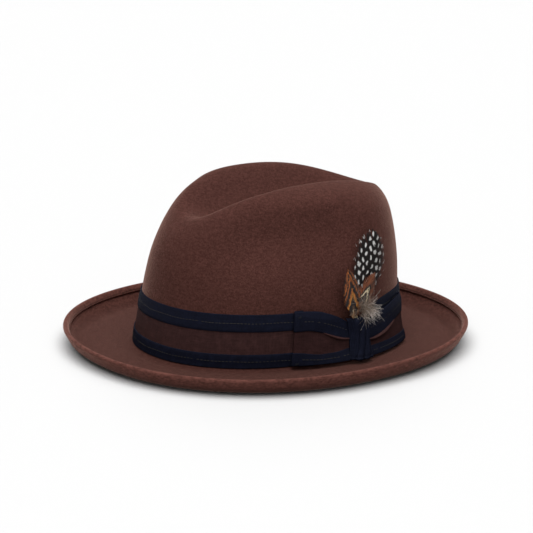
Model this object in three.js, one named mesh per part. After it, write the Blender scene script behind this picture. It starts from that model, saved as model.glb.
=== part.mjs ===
// A teardrop-crown felt fedora with a rolled, overwelted brim, a three-stripe ribbon band
// with a flat bow, a feather spray tucked behind the bow's knot, and the sweatband and
// lining inside. Millimetres, +Z up. The front of the hat is -Y, the wearer's left side
// (bow and feathers) is +X, and the flat underside of the brim lies on Z = 0.
import * as THREE from 'three';

// ---- driving dimensions -------------------------------------------------------------
const AROUND = 48;            // facets round the hat
const GAP = 0.3;              // air between pieces that touch

const HEAD_LENGTH = 207.4;    // crown outside, front to back, at the brim
const HEAD_WIDTH = 174.2;     // crown outside, side to side, at the brim
const HEAD_SQUARENESS = 2.09; // superellipse power of the head oval
const CROWN_BASE = 4;         // height of the brim break on the outside
const CROWN_HEIGHT = 126;     // blocked height of the crown above the break
const CROWN_FULLNESS = 0.29;  // how upright the wall is, 1 is a cone of a dome
const CROWN_ROUND = 0.69;     // how quickly the dome closes at the top
const CROWN_TAPER = 0.108;    // share of its width lost from base to top
const CROWN_LEAN = 10.2;      // the top sits this far behind the base

const DENT_DEPTH = 33;        // teardrop dent down the middle of the crown
const DENT_STEEPNESS = 1.75;  // power of the slope down into the dent
const RIDGE_ROUNDING = 0.16;  // how softly the felt turns over the dent's edge
const DENT_HALF_WIDTH = 44;
const DENT_HALF_LENGTH = 83.5;
const DENT_FRONT_NARROWING = 13.6;
const DENT_BACK_NARROWING = 2.7;
const NOTCH_DEPTH = 9.5;      // lowered front rim of the dent
const PINCH_DEPTH = 9.2;      // finger pinches on both sides of the front
const PINCH_ANGLE = 42.7;     // degrees from the front
const PINCH_HEIGHT = 90.8;
const PINCH_SPREAD = 16.5;    // degrees round the hat
const PINCH_TALLNESS = 26.2;
const WAIST_DEPTH = 2;        // the sides draw in a little all along
const WAIST_HEIGHT = 88;
const HOLLOW_ANGLE = 76;      // hollow under each ridge, degrees from the front
const HOLLOW_SPREAD = 30;
const HOLLOW_DEPTH = 4.6;
const UNDERCUT_DEPTH = 4.4;   // the hollow's sharper upper end, close under the ridge
const UNDERCUT_HEIGHT = 101;

const BRIM_LENGTH = 306;      // over the rolled edge, front to back
const BRIM_WIDTH = 289.6;
const BRIM_SQUARENESS = 2.13;
const FELT = 1.9;             // felt thickness
const WELT_THICKNESS = 3.5;   // folded double edge
const WELT_DEPTH = 6.2;       // how far the folded edge reaches down the inside
const ROLL_RADIUS = 12.4;     // underside of the rolled edge
const ROLL_ANGLE = 69;        // degrees that the edge turns up
const RIM_HEIGHT = 13.8;      // mean height of the rolled edge
const RIM_DIP_SIDES = 1.8;    // lower at the sides, higher at front and back
const RIM_RISE_BACK = 0.9;

const RIBBON = 0.6;           // ribbon thickness
const BAND_BOTTOM = 4.1;
const LOWER_NAVY_TOP = 14.1;
const UPPER_NAVY_BOTTOM = 30.2;
const BAND_TOP = 42.4;
const BINDING_OVERLAP = 3;    // the navy binding laps over the brown ribbon
const THREAD = 0.4;           // diameter of the sewing thread
const CINCH_DEPTH = 13;       // the bow draws the band's top edge down behind it
const CINCH_CENTRE = 6;       // arc from the hat's middle, towards the back

const BOW_CENTRE = 14;        // arc from the hat's middle to the knot, towards the back
const BOW_BOTTOM = 2.8;       // the bow's lower edge stands on the brim
const BOW_PUFF = 5.5;         // how far its lower edge bulges off the band
const KNOT_WIDTH = 21;
const KNOT_TOP = 33;
const KNOT_LEAN = 0.5;        // the knot's foot is this much further back than its head
const FRONT_WING = 55.5;      // knot centre to the cut end
const BACK_WING = 62;
const WING_THICKNESS = 1.5;   // two layers of ribbon, pressed
const POCKET_DEPTH = 3.6;     // room between wings and knot for the quills

const SPRAY_FOOT = 10;        // arc at which the quills leave the knot
const SPRAY_LEAN = 2;         // degrees that the quills lean back inside the pocket
const QUILL = 0.9;            // quill diameter
const QUILL_FOOT = 19;        // height of the quills' cut ends inside the pocket
const VANE_START = 38;        // height at which the feathers spread
const GUINEA_LENGTH = 62;
const GUINEA_WIDTH = 28;
const PHEASANT_LENGTH = 32;
const PHEASANT_WIDTH = 14.5;
const VANE = 0.7;             // thickness of a feather's vane
const GUINEA_LEAN = 33;       // degrees back from upright
const PHEASANT_BACK_LEAN = 38;
const PHEASANT_FRONT_LEAN = -4;
const GUINEA_STAND_OFF = 5.2; // the vanes lie one over another beside the wall
const PHEASANT_BACK_STAND_OFF = 7.4;
const PHEASANT_FRONT_STAND_OFF = 9.6;
const FLUFF_LENGTH = 22;      // tuft of down at the foot of the feathers
const FLUFF_HEIGHT = 21;
const FLUFF_STAND_OFF = 11.8;
const FLUFF_THICKNESS = 2.2;

const SWEATBAND_HEIGHT = 38;
const SWEATBAND = 1;          // leather thickness
const SWEATBAND_SEAM = 6;     // height of its stitching
const SWEATBAND_INSET = 4.3;  // its outer face behind the crown's outer face
const REED = 1.1;             // diameter of the reed along the sweatband's foot
const LINING = 0.5;           // satin thickness
const TIP_SLACK = 1.2;        // the lining's tip hangs this much looser than its side
const LINING_HEM = 22;        // the lining's lower edge, hidden by the sweatband

// ---- the crown and brim as formulas ---------------------------------------------------
const rad = THREE.MathUtils.degToRad;
const deg = THREE.MathUtils.radToDeg;
const clamp = THREE.MathUtils.clamp;
const bell = (value, centre, spread) => Math.exp(-(((value - centre) / spread) ** 2));
const skewedBell = (value, centre, below, above) => bell(value, centre, value < centre ? below : above);
const softFloor = (value, softness) => (value + Math.hypot(value, softness)) / 2;
const signedPower = (value, power) => Math.sign(value) * Math.abs(value) ** power;

// A superellipse with its long axis on Y. Angle 0 is the wearer's left, 90 is the back.
function oval(angle, length, width, squareness) {
  const x = (width / 2) * signedPower(Math.cos(angle), 2 / squareness);
  const y = (length / 2) * signedPower(Math.sin(angle), 2 / squareness);
  return [x, y];
}
const headOval = (angle) => oval(angle, HEAD_LENGTH, HEAD_WIDTH, HEAD_SQUARENESS);

// A point of the crown's outer face: rise runs from 0 at the break to PI / 2 at the middle.
function crownPoint(angle, rise) {
  const up = Math.sin(rise) ** CROWN_FULLNESS;
  const reach = Math.max(Math.cos(rise), 0) ** CROWN_ROUND * (1 - CROWN_TAPER * up);
  const [ovalX, ovalY] = headOval(angle);
  const centre = CROWN_LEAN * up ** 0.77;
  const height = CROWN_HEIGHT * up;
  const fromFront = Math.abs(deg(Math.atan2(ovalX, -ovalY)));
  const radius = Math.hypot(ovalX, ovalY) * reach;
  const inward = drawnIn(fromFront, height) * clamp(radius / 40, 0, 1);
  const keep = 1 - inward / Math.max(radius, 1e-6);
  const x = ovalX * reach * keep;
  const y = ovalY * reach * keep;
  return new THREE.Vector3(x, y + centre, CROWN_BASE + height - dentDepth(x, y, height));
}

// How far the front pinches and the hollows under the ridges draw the wall in.
function drawnIn(fromFront, height) {
  const pinch = bell(fromFront, PINCH_ANGLE, PINCH_SPREAD) * bell(height, PINCH_HEIGHT, PINCH_TALLNESS);
  const waist = bell(height, WAIST_HEIGHT, 16) * Math.sin(rad(fromFront));
  const hollow = HOLLOW_DEPTH * skewedBell(height, WAIST_HEIGHT, 26, 16);
  const undercut = UNDERCUT_DEPTH * skewedBell(height, UNDERCUT_HEIGHT, 30, 9);
  const besideRidge = bell(fromFront, HOLLOW_ANGLE, HOLLOW_SPREAD);
  return PINCH_DEPTH * pinch + WAIST_DEPTH * waist + (hollow + undercut) * besideRidge;
}

// How far the teardrop dent and its lowered front rim push the top down.
function dentDepth(x, y, height) {
  const along = (y - 0.4) / DENT_HALF_LENGTH;
  const front = DENT_FRONT_NARROWING * clamp(-along, 0, 1.2) ** 2;
  const back = DENT_BACK_NARROWING * clamp(along, 0, 1.2) ** 2;
  const edge = (x / (DENT_HALF_WIDTH - front - back)) ** 2 + Math.abs(along) ** 4.2;
  const dent = DENT_DEPTH * softFloor(1 - edge, RIDGE_ROUNDING) ** DENT_STEEPNESS;
  const notch = NOTCH_DEPTH * bell(y, -78, 25.5) * bell(x, 0, 38.8) * clamp((height - 60) / 40, 0, 1);
  return dent + notch;
}

// The same face moved along its normal: positive stands off it, negative is inside the felt.
function crownOffset(angle, rise, offset) {
  const step = 0.002;
  const point = crownPoint(angle, rise);
  const across = crownPoint(angle + step, rise).sub(crownPoint(angle - step, rise));
  const low = crownPoint(angle, Math.max(rise - step, 1e-5));
  const up = crownPoint(angle, Math.min(rise + step, Math.PI / 2 - 1e-4)).sub(low);
  const normal = across.cross(up).normalize();
  return point.addScaledVector(normal, offset);
}

const riseAtHeight = (z) => {
  const share = clamp((z - CROWN_BASE) / CROWN_HEIGHT, 1e-4, 1);
  return Math.asin(share ** (1 / CROWN_FULLNESS));
};
const riseAtReach = (share) => Math.acos(share ** (1 / CROWN_ROUND));

// A point on the crown's wall at a height, standing off it by a level distance.
function wallPoint(angle, z, offset) {
  const step = 0.002;
  const rise = riseAtHeight(z);
  const point = crownPoint(angle, rise);
  const along = crownPoint(angle + step, rise).sub(crownPoint(angle - step, rise));
  const out = new THREE.Vector3(along.y, -along.x, 0).normalize();
  return new THREE.Vector3(point.x, point.y, z).addScaledVector(out, offset);
}

// The angle reached by walking an arc round the band from the wearer's left, back positive.
function angleAtArc(arc) {
  const step = rad(0.5) * Math.sign(arc);
  let angle = 0;
  let left = Math.abs(arc);
  let here = wallPoint(0, 20, 0);
  while (left > 0) {
    const next = wallPoint(angle + step, 20, 0);
    const length = next.distanceTo(here);
    angle += step * Math.min(left / length, 1);
    left -= length;
    here = next;
  }
  return angle;
}
const besidePoint = (arc, z, offset) => wallPoint(angleAtArc(arc), z, offset);

// ---- closed meshes ----------------------------------------------------------------------
const angles = Array.from({ length: AROUND }, (_, i) => (i * 2 * Math.PI) / AROUND);

// Rows shared by the felt's inner face and the lining, so that their facets stay parallel.
const INNER_LEVELS = [30, 56, 76, 90, 102, 111];
const OUTER_LEVELS = [CROWN_BASE, 16, 32, 48, 62, 74, 84, 93, 102, 111];
const TOP_REACHES = [0.78, 0.68, 0.59, 0.5, 0.4, 0.28, 0.14];

function signedVolume(points, faces) {
  const part = ([a, b, c]) => points[a].dot(points[b].clone().cross(points[c]));
  return faces.reduce((sum, face) => sum + part(face), 0);
}

function solid(points, faces) {
  const outward = signedVolume(points, faces) > 0;
  const index = faces.flatMap(([a, b, c]) => (outward ? [a, b, c] : [a, c, b]));
  const geometry = new THREE.BufferGeometry().setFromPoints(points);
  geometry.setIndex(index);
  geometry.computeVertexNormals();
  return geometry;
}

// Rows of points round a loop, joined row to row. A row of one point closes an end;
// with no such rows the last row joins the first, as round a ring.
function loftRows(rows) {
  const points = rows.flat();
  const starts = [];
  rows.reduce((sum, row) => (starts.push(sum), sum + row.length), 0);
  const open = rows[0].length > 1;
  const faces = [];
  for (let r = 0; r < rows.length - (open ? 0 : 1); r++) {
    const next = (r + 1) % rows.length;
    const count = Math.max(rows[r].length, rows[next].length);
    const at = (row, i) => starts[row] + (rows[row].length > 1 ? i % count : 0);
    for (let i = 0; i < count; i++) {
      if (rows[r].length > 1) faces.push([at(r, i), at(r, i + 1), at(next, i)]);
      if (rows[next].length > 1) faces.push([at(r, i + 1), at(next, i + 1), at(next, i)]);
    }
  }
  return solid(points, faces);
}

// A ring round the hat: section(angle) gives the same number of points at each angle.
const loftRing = (section) => loftRows(transpose(angles.map(section)));
const transpose = (table) => table[0].map((_, i) => table.map((row) => row[i]));

// A bowl-shaped sheet: outer rows from the crown's middle down, then inner rows back up.
function loftBowl(rises, outerOffset, innerOffset) {
  const row = (offset) => (rise) => angles.map((angle) => crownOffset(angle, rise, offset));
  const middle = (offset) => [crownOffset(0, Math.PI / 2 - 1e-3, offset).setX(0)];
  const outer = rises.map(row(outerOffset)).reverse();
  const inner = rises.map(row(innerOffset));
  return loftRows([middle(outerOffset), ...outer, ...inner, middle(innerOffset)]);
}

// A thin patch between two faces, each given over u and v from 0 to 1.
function slab(across, up, outer, inner) {
  const rows = [];
  for (let i = 0; i <= across; i++) {
    const front = Array.from({ length: up + 1 }, (_, j) => outer(i / across, j / up));
    const back = Array.from({ length: up + 1 }, (_, j) => inner(i / across, 1 - j / up));
    rows.push([...front, ...back]);
  }
  const points = rows.flat();
  const round = 2 * (up + 1);
  const faces = [];
  for (let i = 0; i < across; i++) {
    for (let j = 0; j < round; j++) {
      const next = (j + 1) % round;
      faces.push([i * round + j, (i + 1) * round + j, i * round + next]);
      faces.push([(i + 1) * round + j, (i + 1) * round + next, i * round + next]);
    }
  }
  for (let j = 0; j < up; j++) {
    const far = round - 1 - j;
    const last = across * round;
    faces.push([j, j + 1, far]);
    faces.push([j + 1, far - 1, far]);
    faces.push([last + j + 1, last + j, last + far]);
    faces.push([last + far - 1, last + j + 1, last + far]);
  }
  return solid(points, faces);
}

// A round rod along a curve, as a swept many-sided section.
function rod(points, diameter, steps, sides = 6) {
  const section = new THREE.Shape();
  section.absarc(0, 0, diameter / 2, 0, 2 * Math.PI);
  section.closePath();
  const outline = new THREE.Shape(section.getSpacedPoints(sides).slice(0, sides));
  const extrudePath = new THREE.CatmullRomCurve3(points);
  return new THREE.ExtrudeGeometry(outline, { steps, bevelEnabled: false, extrudePath });
}

// A thread or reed right round the hat, through centre(angle).
function loftHoop(diameter, sides, centre) {
  const radius = diameter / 2;
  return loftRing((angle) => {
    const middle = centre(angle);
    const out = wallPoint(angle, middle.z, 1).sub(wallPoint(angle, middle.z, 0)).setZ(0).normalize();
    return Array.from({ length: sides }, (_, i) => {
      const turn = ((i + 0.5) * 2 * Math.PI) / sides;
      const point = middle.clone().addScaledVector(out, radius * Math.cos(turn));
      return point.setZ(point.z + radius * Math.sin(turn));
    });
  });
}

// ---- felt body --------------------------------------------------------------------------
// The brim along one angle, seen in section: distance out from the head oval, and height.
function brimPath(angle) {
  const [headX, headY] = headOval(angle);
  const [rimX, rimY] = oval(angle, BRIM_LENGTH, BRIM_WIDTH, BRIM_SQUARENESS);
  const width = Math.hypot(rimX - headX, rimY - headY);
  const turn = rad(ROLL_ANGLE);
  const rimHeight = RIM_HEIGHT - RIM_DIP_SIDES * Math.cos(2 * angle) + RIM_RISE_BACK * Math.sin(angle);
  const crest = WELT_THICKNESS / 2;
  const arcHeight = ROLL_RADIUS * (1 - Math.cos(turn));
  const lip = (rimHeight - crest - arcHeight + crest * Math.cos(turn)) / Math.sin(turn);
  const flat = width - ROLL_RADIUS * Math.sin(turn) - lip * Math.cos(turn) - 0.3 * crest;
  return { angle, headX, headY, rimX, rimY, width, turn, crest, lip, flat };
}

function brimPlace(path, out, height) {
  const share = out / path.width;
  const x = path.headX + (path.rimX - path.headX) * share;
  const y = path.headY + (path.rimY - path.headY) * share;
  return new THREE.Vector3(x, y, height);
}

// A point of the rolled edge: run is the length along its underside, depth is towards the top.
function rollPoint(path, run, depth) {
  const arc = ROLL_RADIUS * path.turn;
  const turned = Math.min(run / ROLL_RADIUS, path.turn);
  const beyond = Math.max(run - arc, 0);
  const out = path.flat + (ROLL_RADIUS - depth) * Math.sin(turned) + beyond * Math.cos(turned);
  const height = ROLL_RADIUS - (ROLL_RADIUS - depth) * Math.cos(turned) + beyond * Math.sin(turned);
  return brimPlace(path, out, height);
}

function weltRun(path) {
  return ROLL_RADIUS * path.turn + path.lip - WELT_DEPTH + path.crest;
}

function feltSection(angle) {
  const path = brimPath(angle);
  const arc = ROLL_RADIUS * path.turn;
  const end = arc + path.lip;
  const topOfBrim = [
    brimPlace(path, 2, 0.6 * (CROWN_BASE - FELT) * 0.5 + FELT),
    brimPlace(path, 6, FELT + 0.2),
    brimPlace(path, path.flat * 0.45, FELT),
    rollPoint(path, 0, FELT),
    rollPoint(path, arc * 0.3, FELT),
    rollPoint(path, arc * 0.55, FELT),
    rollPoint(path, weltRun(path) - 0.4, FELT),
    rollPoint(path, weltRun(path), WELT_THICKNESS),
    rollPoint(path, end, WELT_THICKNESS),
    rollPoint(path, end + path.crest * 0.7, WELT_THICKNESS * 0.8),
    rollPoint(path, end + path.crest, path.crest),
    rollPoint(path, end + path.crest * 0.7, WELT_THICKNESS * 0.2),
    rollPoint(path, end, 0),
    rollPoint(path, arc, 0),
    rollPoint(path, arc * 0.66, 0),
    rollPoint(path, arc * 0.33, 0),
    rollPoint(path, 0, 0),
    brimPlace(path, path.flat * 0.45, 0),
    brimPlace(path, 2.5, 0),
    brimPlace(path, -0.4, 0.7),
  ];
  const wallRises = [8, ...INNER_LEVELS].map(riseAtHeight);
  const topRises = TOP_REACHES.map(riseAtReach);
  const outer = OUTER_LEVELS.map(riseAtHeight).concat(topRises);
  const inner = wallRises.concat(topRises);
  return [
    ...outer.map((rise) => crownOffset(angle, rise, 0)).reverse(),
    ...topOfBrim,
    ...inner.map((rise) => crownOffset(angle, rise, -FELT)),
  ];
}

function feltBody() {
  const rows = transpose(angles.map(feltSection));
  const middle = (offset) => [crownOffset(0, Math.PI / 2 - 1e-3, offset).setX(0)];
  return loftRows([middle(0), ...rows, middle(-FELT)]);
}

function weltStitching() {
  return loftHoop(THREAD, 4, (angle) => {
    const path = brimPath(angle);
    return rollPoint(path, weltRun(path) + 1.4, WELT_THICKNESS + GAP + THREAD / 2);
  });
}

// ---- ribbon band ------------------------------------------------------------------------
const coreOuter = GAP + RIBBON;
const bindingInner = coreOuter + GAP;
const bindingOuter = bindingInner + RIBBON;
const threadMiddle = bindingOuter + GAP + THREAD / 2;
const wingInner = bindingOuter + GAP + THREAD + GAP;
const wingOuter = wingInner + WING_THICKNESS;

// A point of the band: heights above the lower stripe sink where the bow gathers the ribbon.
function bandPoint(angle, z, offset) {
  const [x, y] = headOval(angle);
  const cinch = x > 0 ? CINCH_DEPTH * skewedBell(y, CINCH_CENTRE, 15, 26) : 0;
  const share = clamp((z - LOWER_NAVY_TOP) / (BAND_TOP - LOWER_NAVY_TOP), 0, 1);
  return wallPoint(angle, z - cinch * share, offset);
}

function hatbandCore() {
  const bottom = LOWER_NAVY_TOP - BINDING_OVERLAP;
  const top = UPPER_NAVY_BOTTOM + BINDING_OVERLAP;
  const middle = (bottom + top) / 2;
  return loftRing((angle) => [
    bandPoint(angle, bottom, coreOuter),
    bandPoint(angle, middle, coreOuter),
    bandPoint(angle, top, coreOuter),
    bandPoint(angle, top, GAP),
    bandPoint(angle, middle, GAP),
    bandPoint(angle, bottom, GAP),
  ]);
}

// The binding laps over the core on one side and lies against the felt beyond it.
function hatbandBinding(freeEdge, lapEdge) {
  const side = Math.sign(freeEdge - lapEdge);
  const step = lapEdge + side * (BINDING_OVERLAP + GAP);
  return loftRing((angle) => [
    bandPoint(angle, lapEdge, bindingOuter),
    bandPoint(angle, freeEdge, bindingOuter),
    bandPoint(angle, freeEdge, GAP),
    bandPoint(angle, step, GAP),
    bandPoint(angle, step, bindingInner),
    bandPoint(angle, lapEdge, bindingInner),
  ]);
}

const bandThread = (z) => loftHoop(THREAD, 4, (angle) => bandPoint(angle, z, threadMiddle));

// ---- bow --------------------------------------------------------------------------------
// The bow bulges off the band at its foot, less towards a wing's cut end.
const puff = (z, share) => {
  const down = clamp((KNOT_TOP - z) / (KNOT_TOP - BOW_BOTTOM), 0, 1);
  return BOW_PUFF * share * down ** 2;
};

// A wing is full height at its cut end and gathers to the knot's height at the middle.
function bowWing(side, length, openTop, endPuff) {
  const inset = 0.2;
  const gatheredTop = KNOT_TOP - 2;
  const place = (u, v, offset) => {
    const arc = BOW_CENTRE + side * (inset + (length - inset) * u);
    const open = Math.sin((Math.PI / 2) * clamp((u - 0.1) / 0.8, 0, 1)) ** 0.9;
    const top = gatheredTop + (openTop - gatheredTop) * open;
    const z = BOW_BOTTOM + (top - BOW_BOTTOM) * v;
    return besidePoint(arc, z, offset + puff(z, 1 - (1 - endPuff) * u ** 2));
  };
  return slab(8, 4, (u, v) => place(u, v, wingOuter), (u, v) => place(u, v, wingInner));
}

const pocketFloor = (z) => wingOuter + GAP + puff(z, 1);
const pocketMiddle = (z) => pocketFloor(z) + POCKET_DEPTH / 2;

// The knot is a ribbon arched over the quills, resting on the wings along both its edges.
function bowKnot() {
  const thickness = 1.2;
  const place = (u, v, lift) => {
    const lean = KNOT_LEAN * (0.5 - v);
    const waist = 1 - 0.1 * Math.sin(Math.PI * v);
    const arc = BOW_CENTRE + lean + (u - 0.5) * KNOT_WIDTH * waist;
    const arch = POCKET_DEPTH * Math.min(1, 1.6 * Math.sin(Math.PI * u));
    const z = BOW_BOTTOM + (KNOT_TOP - BOW_BOTTOM) * v;
    return besidePoint(arc, z, pocketFloor(z) + arch + lift);
  };
  return slab(10, 3, (u, v) => place(u, v, thickness), (u, v) => place(u, v, 0));
}

// A short tack stitch over the front wing's cut end.
function bowTack(z) {
  const arc = BOW_CENTRE - FRONT_WING;
  const stitch = [
    besidePoint(arc + 1.2, z, wingOuter + GAP + THREAD / 2),
    besidePoint(arc + 2.6, z + 0.4, wingOuter + GAP + THREAD),
    besidePoint(arc + 4, z + 0.8, wingOuter + GAP + THREAD / 2),
  ];
  return rod(stitch, THREAD, 4, 5);
}

// ---- feather spray ----------------------------------------------------------------------
// The quills stand side by side in the pocket and fan out above the knot. All of them are
// straight and parallel inside it, so the spray slides out along them.
const pocketMouth = besidePoint(SPRAY_FOOT, KNOT_TOP, pocketMiddle(KNOT_TOP));
const footArc = SPRAY_FOOT - Math.tan(rad(SPRAY_LEAN)) * (KNOT_TOP - QUILL_FOOT);
const pocketFoot = besidePoint(footArc, QUILL_FOOT, pocketMiddle(QUILL_FOOT));
const slideUp = pocketMouth.clone().sub(pocketFoot).normalize();
const pocketAcross = new THREE.Vector3(0, 1, 0).addScaledVector(slideUp, -slideUp.y).normalize();

function quillPoint(slot, height) {
  const along = (height - KNOT_TOP) / slideUp.z;
  const side = slot * (QUILL + GAP + 0.1);
  return pocketMouth.clone().addScaledVector(slideUp, along).addScaledVector(pocketAcross, side);
}

// A feather beside the wall: its line starts where its quill leaves the knot.
function feather({ slot, shift, lean, length, width, standOff, profile }) {
  const foot = SPRAY_FOOT + shift;
  const turn = rad(lean);
  const place = (along, across, offset) => {
    const arc = foot + Math.sin(turn) * along + Math.cos(turn) * across;
    const z = VANE_START + Math.cos(turn) * along - Math.sin(turn) * across;
    return besidePoint(arc, z, offset);
  };
  const vane = slab(
    4,
    10,
    (u, v) => place(length * (0.08 + 0.92 * v), (u - 0.5) * width * profile(v), standOff + VANE),
    (u, v) => place(length * (0.08 + 0.92 * v), (u - 0.5) * width * profile(v), standOff),
  );
  const shaftOffset = standOff - GAP - QUILL / 2;
  const shaft = rod(
    [
      quillPoint(slot, QUILL_FOOT),
      quillPoint(slot, (QUILL_FOOT + KNOT_TOP) / 2),
      quillPoint(slot, KNOT_TOP),
      place(length * 0.1, 0, shaftOffset),
      place(length * 0.45, 0, shaftOffset),
      place(length * 0.9, 0, shaftOffset),
    ],
    QUILL,
    22,
  );
  return { vane, shaft };
}

const leafProfile = (v) => 0.12 + 0.88 * Math.sin(Math.PI * clamp(v, 0, 1) ** 0.8) ** 0.7;
const paddleProfile = (v) => {
  const spread = 0.6 + 0.4 * Math.sin((Math.PI / 2) * clamp(v * 1.8, 0, 1));
  return spread * (1 - 0.8 * v ** 7);
};

const guinea = feather({
  slot: 0,
  shift: -3,
  lean: GUINEA_LEAN,
  length: GUINEA_LENGTH,
  width: GUINEA_WIDTH,
  standOff: GUINEA_STAND_OFF,
  profile: paddleProfile,
});
const pheasantBack = feather({
  slot: 1,
  shift: -1,
  lean: PHEASANT_BACK_LEAN,
  length: PHEASANT_LENGTH,
  width: PHEASANT_WIDTH,
  standOff: PHEASANT_BACK_STAND_OFF,
  profile: leafProfile,
});
const pheasantFront = feather({
  slot: -1,
  shift: -5,
  lean: PHEASANT_FRONT_LEAN,
  length: PHEASANT_LENGTH,
  width: PHEASANT_WIDTH,
  standOff: PHEASANT_FRONT_STAND_OFF,
  profile: leafProfile,
});

// A soft tuft of down in front of the quills, spread towards the back.
function fluff() {
  const place = (u, v, offset) => {
    const turn = 2 * Math.PI * u;
    const arc = BOW_CENTRE + 2.5 + (FLUFF_LENGTH / 2) * v * Math.cos(turn);
    return besidePoint(arc, KNOT_TOP + 7 + (FLUFF_HEIGHT / 2) * v * Math.sin(turn), offset);
  };
  const sides = 14;
  const ring = (v, offset) => Array.from({ length: sides }, (_, i) => place(i / sides, v, offset));
  const back = FLUFF_STAND_OFF;
  const front = back + FLUFF_THICKNESS;
  return loftRows([
    [place(0, 0, front)],
    ring(0.6, front - 0.4),
    ring(1, (front + back) / 2),
    ring(0.6, back),
    [place(0, 0, back)],
  ]);
}

// Thread wound round the quills inside the pocket: a flat sleeve.
function featherBinding() {
  const halfWidth = 1.5 * (QUILL + GAP + 0.1) + 0.15;
  const halfDepth = QUILL / 2 + GAP;
  const wall = 0.35;
  const outward = new THREE.Vector3().crossVectors(pocketAcross, slideUp).normalize();
  const loop = (height, grow) => {
    const middle = quillPoint(0, height);
    return Array.from({ length: 16 }, (_, i) => {
      const turn = (i * 2 * Math.PI) / 16;
      const across = signedPower(Math.cos(turn), 0.5) * (halfWidth + grow);
      const deep = signedPower(Math.sin(turn), 0.5) * (halfDepth + grow);
      return middle.clone().addScaledVector(pocketAcross, across).addScaledVector(outward, deep);
    });
  };
  return loftRows([loop(23, 0), loop(29, 0), loop(29, wall), loop(23, wall)]);
}

// ---- inside the crown -------------------------------------------------------------------
function sweatband() {
  const outer = -SWEATBAND_INSET;
  const inner = outer - SWEATBAND;
  const levels = [1, SWEATBAND_SEAM, 1 + SWEATBAND_HEIGHT / 2, 1 + SWEATBAND_HEIGHT];
  return loftRing((angle) => [
    ...levels.map((z) => wallPoint(angle, z, outer)),
    ...levels.map((z) => wallPoint(angle, z, inner)).reverse(),
  ]);
}

const reedMiddle = -(FELT + SWEATBAND_INSET) / 2;
const sweatbandReed = () => loftHoop(REED, 6, (angle) => wallPoint(angle, 3.2, reedMiddle));
const sweatbandStitching = () => {
  const offset = -SWEATBAND_INSET - SWEATBAND - GAP - THREAD / 2;
  return loftHoop(THREAD, 4, (angle) => wallPoint(angle, SWEATBAND_SEAM, offset));
};

const liningOuter = -(FELT + GAP + 0.2);
const liningInner = liningOuter - LINING;
const tipOuter = liningOuter - TIP_SLACK;
const tipInner = tipOuter - LINING;
const seamReach = 0.745;

function liningSide() {
  const rises = [LINING_HEM, ...INNER_LEVELS].map(riseAtHeight).concat(riseAtReach(TOP_REACHES[0]));
  const row = (offset) => (rise) => angles.map((angle) => crownOffset(angle, rise, offset));
  return loftRows([...rises.map(row(liningOuter)), ...rises.map(row(liningInner)).reverse()]);
}

function liningTip() {
  const rises = [seamReach, ...TOP_REACHES.slice(1)].map(riseAtReach);
  return loftBowl(rises, tipOuter, tipInner);
}

function liningShield() {
  const top = tipInner - GAP;
  return loftBowl(TOP_REACHES.slice(4).map(riseAtReach), top, top - 0.3);
}

// Small patches on the sweatband's inner face at the back of the hat.
function sweatbandPatch(from, to, bottom, top, thickness, pinch) {
  const face = -SWEATBAND_INSET - SWEATBAND - GAP;
  const place = (u, v, offset) => {
    const waist = 1 - pinch * Math.sin(Math.PI * u) ** 4;
    const middle = (bottom + top) / 2;
    const z = middle + (v - 0.5) * (top - bottom) * waist;
    return wallPoint(Math.PI / 2 + from + (to - from) * u, z, offset);
  };
  return slab(6, 1, (u, v) => place(u, v, face), (u, v) => place(u, v, face - thickness));
}
const sizeTab = () => sweatbandPatch(rad(9), rad(19), 14, 26, 0.5, 0);
const sweatbandBow = () => sweatbandPatch(rad(-7), rad(7), 9, 15, 1.2, 0.55);

// ---- materials and assembly -------------------------------------------------------------
function finish(color, roughness, metalness = 0) {
  return new THREE.MeshStandardMaterial({ color, roughness, metalness });
}
const brownFelt = finish('#6a453b', 0.95);
const brownRibbon = finish('#3a2422', 0.7);
const navyRibbon = finish('#161c30', 0.7);
const goldThread = finish('#8a7a5c', 0.6);
const brownThread = finish('#3a2620', 0.8);
const darkThread = finish('#12141c', 0.8);
const speckledVane = finish('#17171a', 0.6);
const russetVane = finish('#9a5a2c', 0.6);
const quillHorn = finish('#d8cba8', 0.5);
const greyDown = finish('#b3a08a', 0.9);
const tanLeather = finish('#4a2f22', 0.55);
const reedPlastic = finish('#e6e0d2', 0.4);
const liningSatin = finish('#2a2530', 0.35);
const clearVinyl = finish('#dfe4e6', 0.15);
const whiteTape = finish('#ece8de', 0.8);

const hat = new THREE.Group();
function add(name, geometry, material) {
  const mesh = new THREE.Mesh(geometry, material);
  mesh.name = name;
  hat.add(mesh);
}

add('felt_body', feltBody(), brownFelt);
add('welt_stitching', weltStitching(), brownThread);
add('hatband_core', hatbandCore(), brownRibbon);
add('hatband_binding_lower', hatbandBinding(BAND_BOTTOM, LOWER_NAVY_TOP), navyRibbon);
add('hatband_binding_upper', hatbandBinding(BAND_TOP, UPPER_NAVY_BOTTOM), navyRibbon);
add('binding_thread_lower', bandThread((BAND_BOTTOM + LOWER_NAVY_TOP) / 2), goldThread);
add('binding_thread_upper', bandThread((BAND_TOP + UPPER_NAVY_BOTTOM) / 2), goldThread);
add('bow_front_wing', bowWing(-1, FRONT_WING, BAND_TOP + 1, 0), brownRibbon);
add('bow_back_wing', bowWing(1, BACK_WING, BAND_TOP - 5, 0.8), brownRibbon);
add('bow_knot', bowKnot(), navyRibbon);
add('bow_tack_upper', bowTack(BAND_TOP - 3), darkThread);
add('bow_tack_lower', bowTack(BAND_BOTTOM + 2), darkThread);
add('guinea_feather_vane', guinea.vane, speckledVane);
add('guinea_feather_quill', guinea.shaft, quillHorn);
add('pheasant_back_vane', pheasantBack.vane, russetVane);
add('pheasant_back_quill', pheasantBack.shaft, quillHorn);
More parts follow.
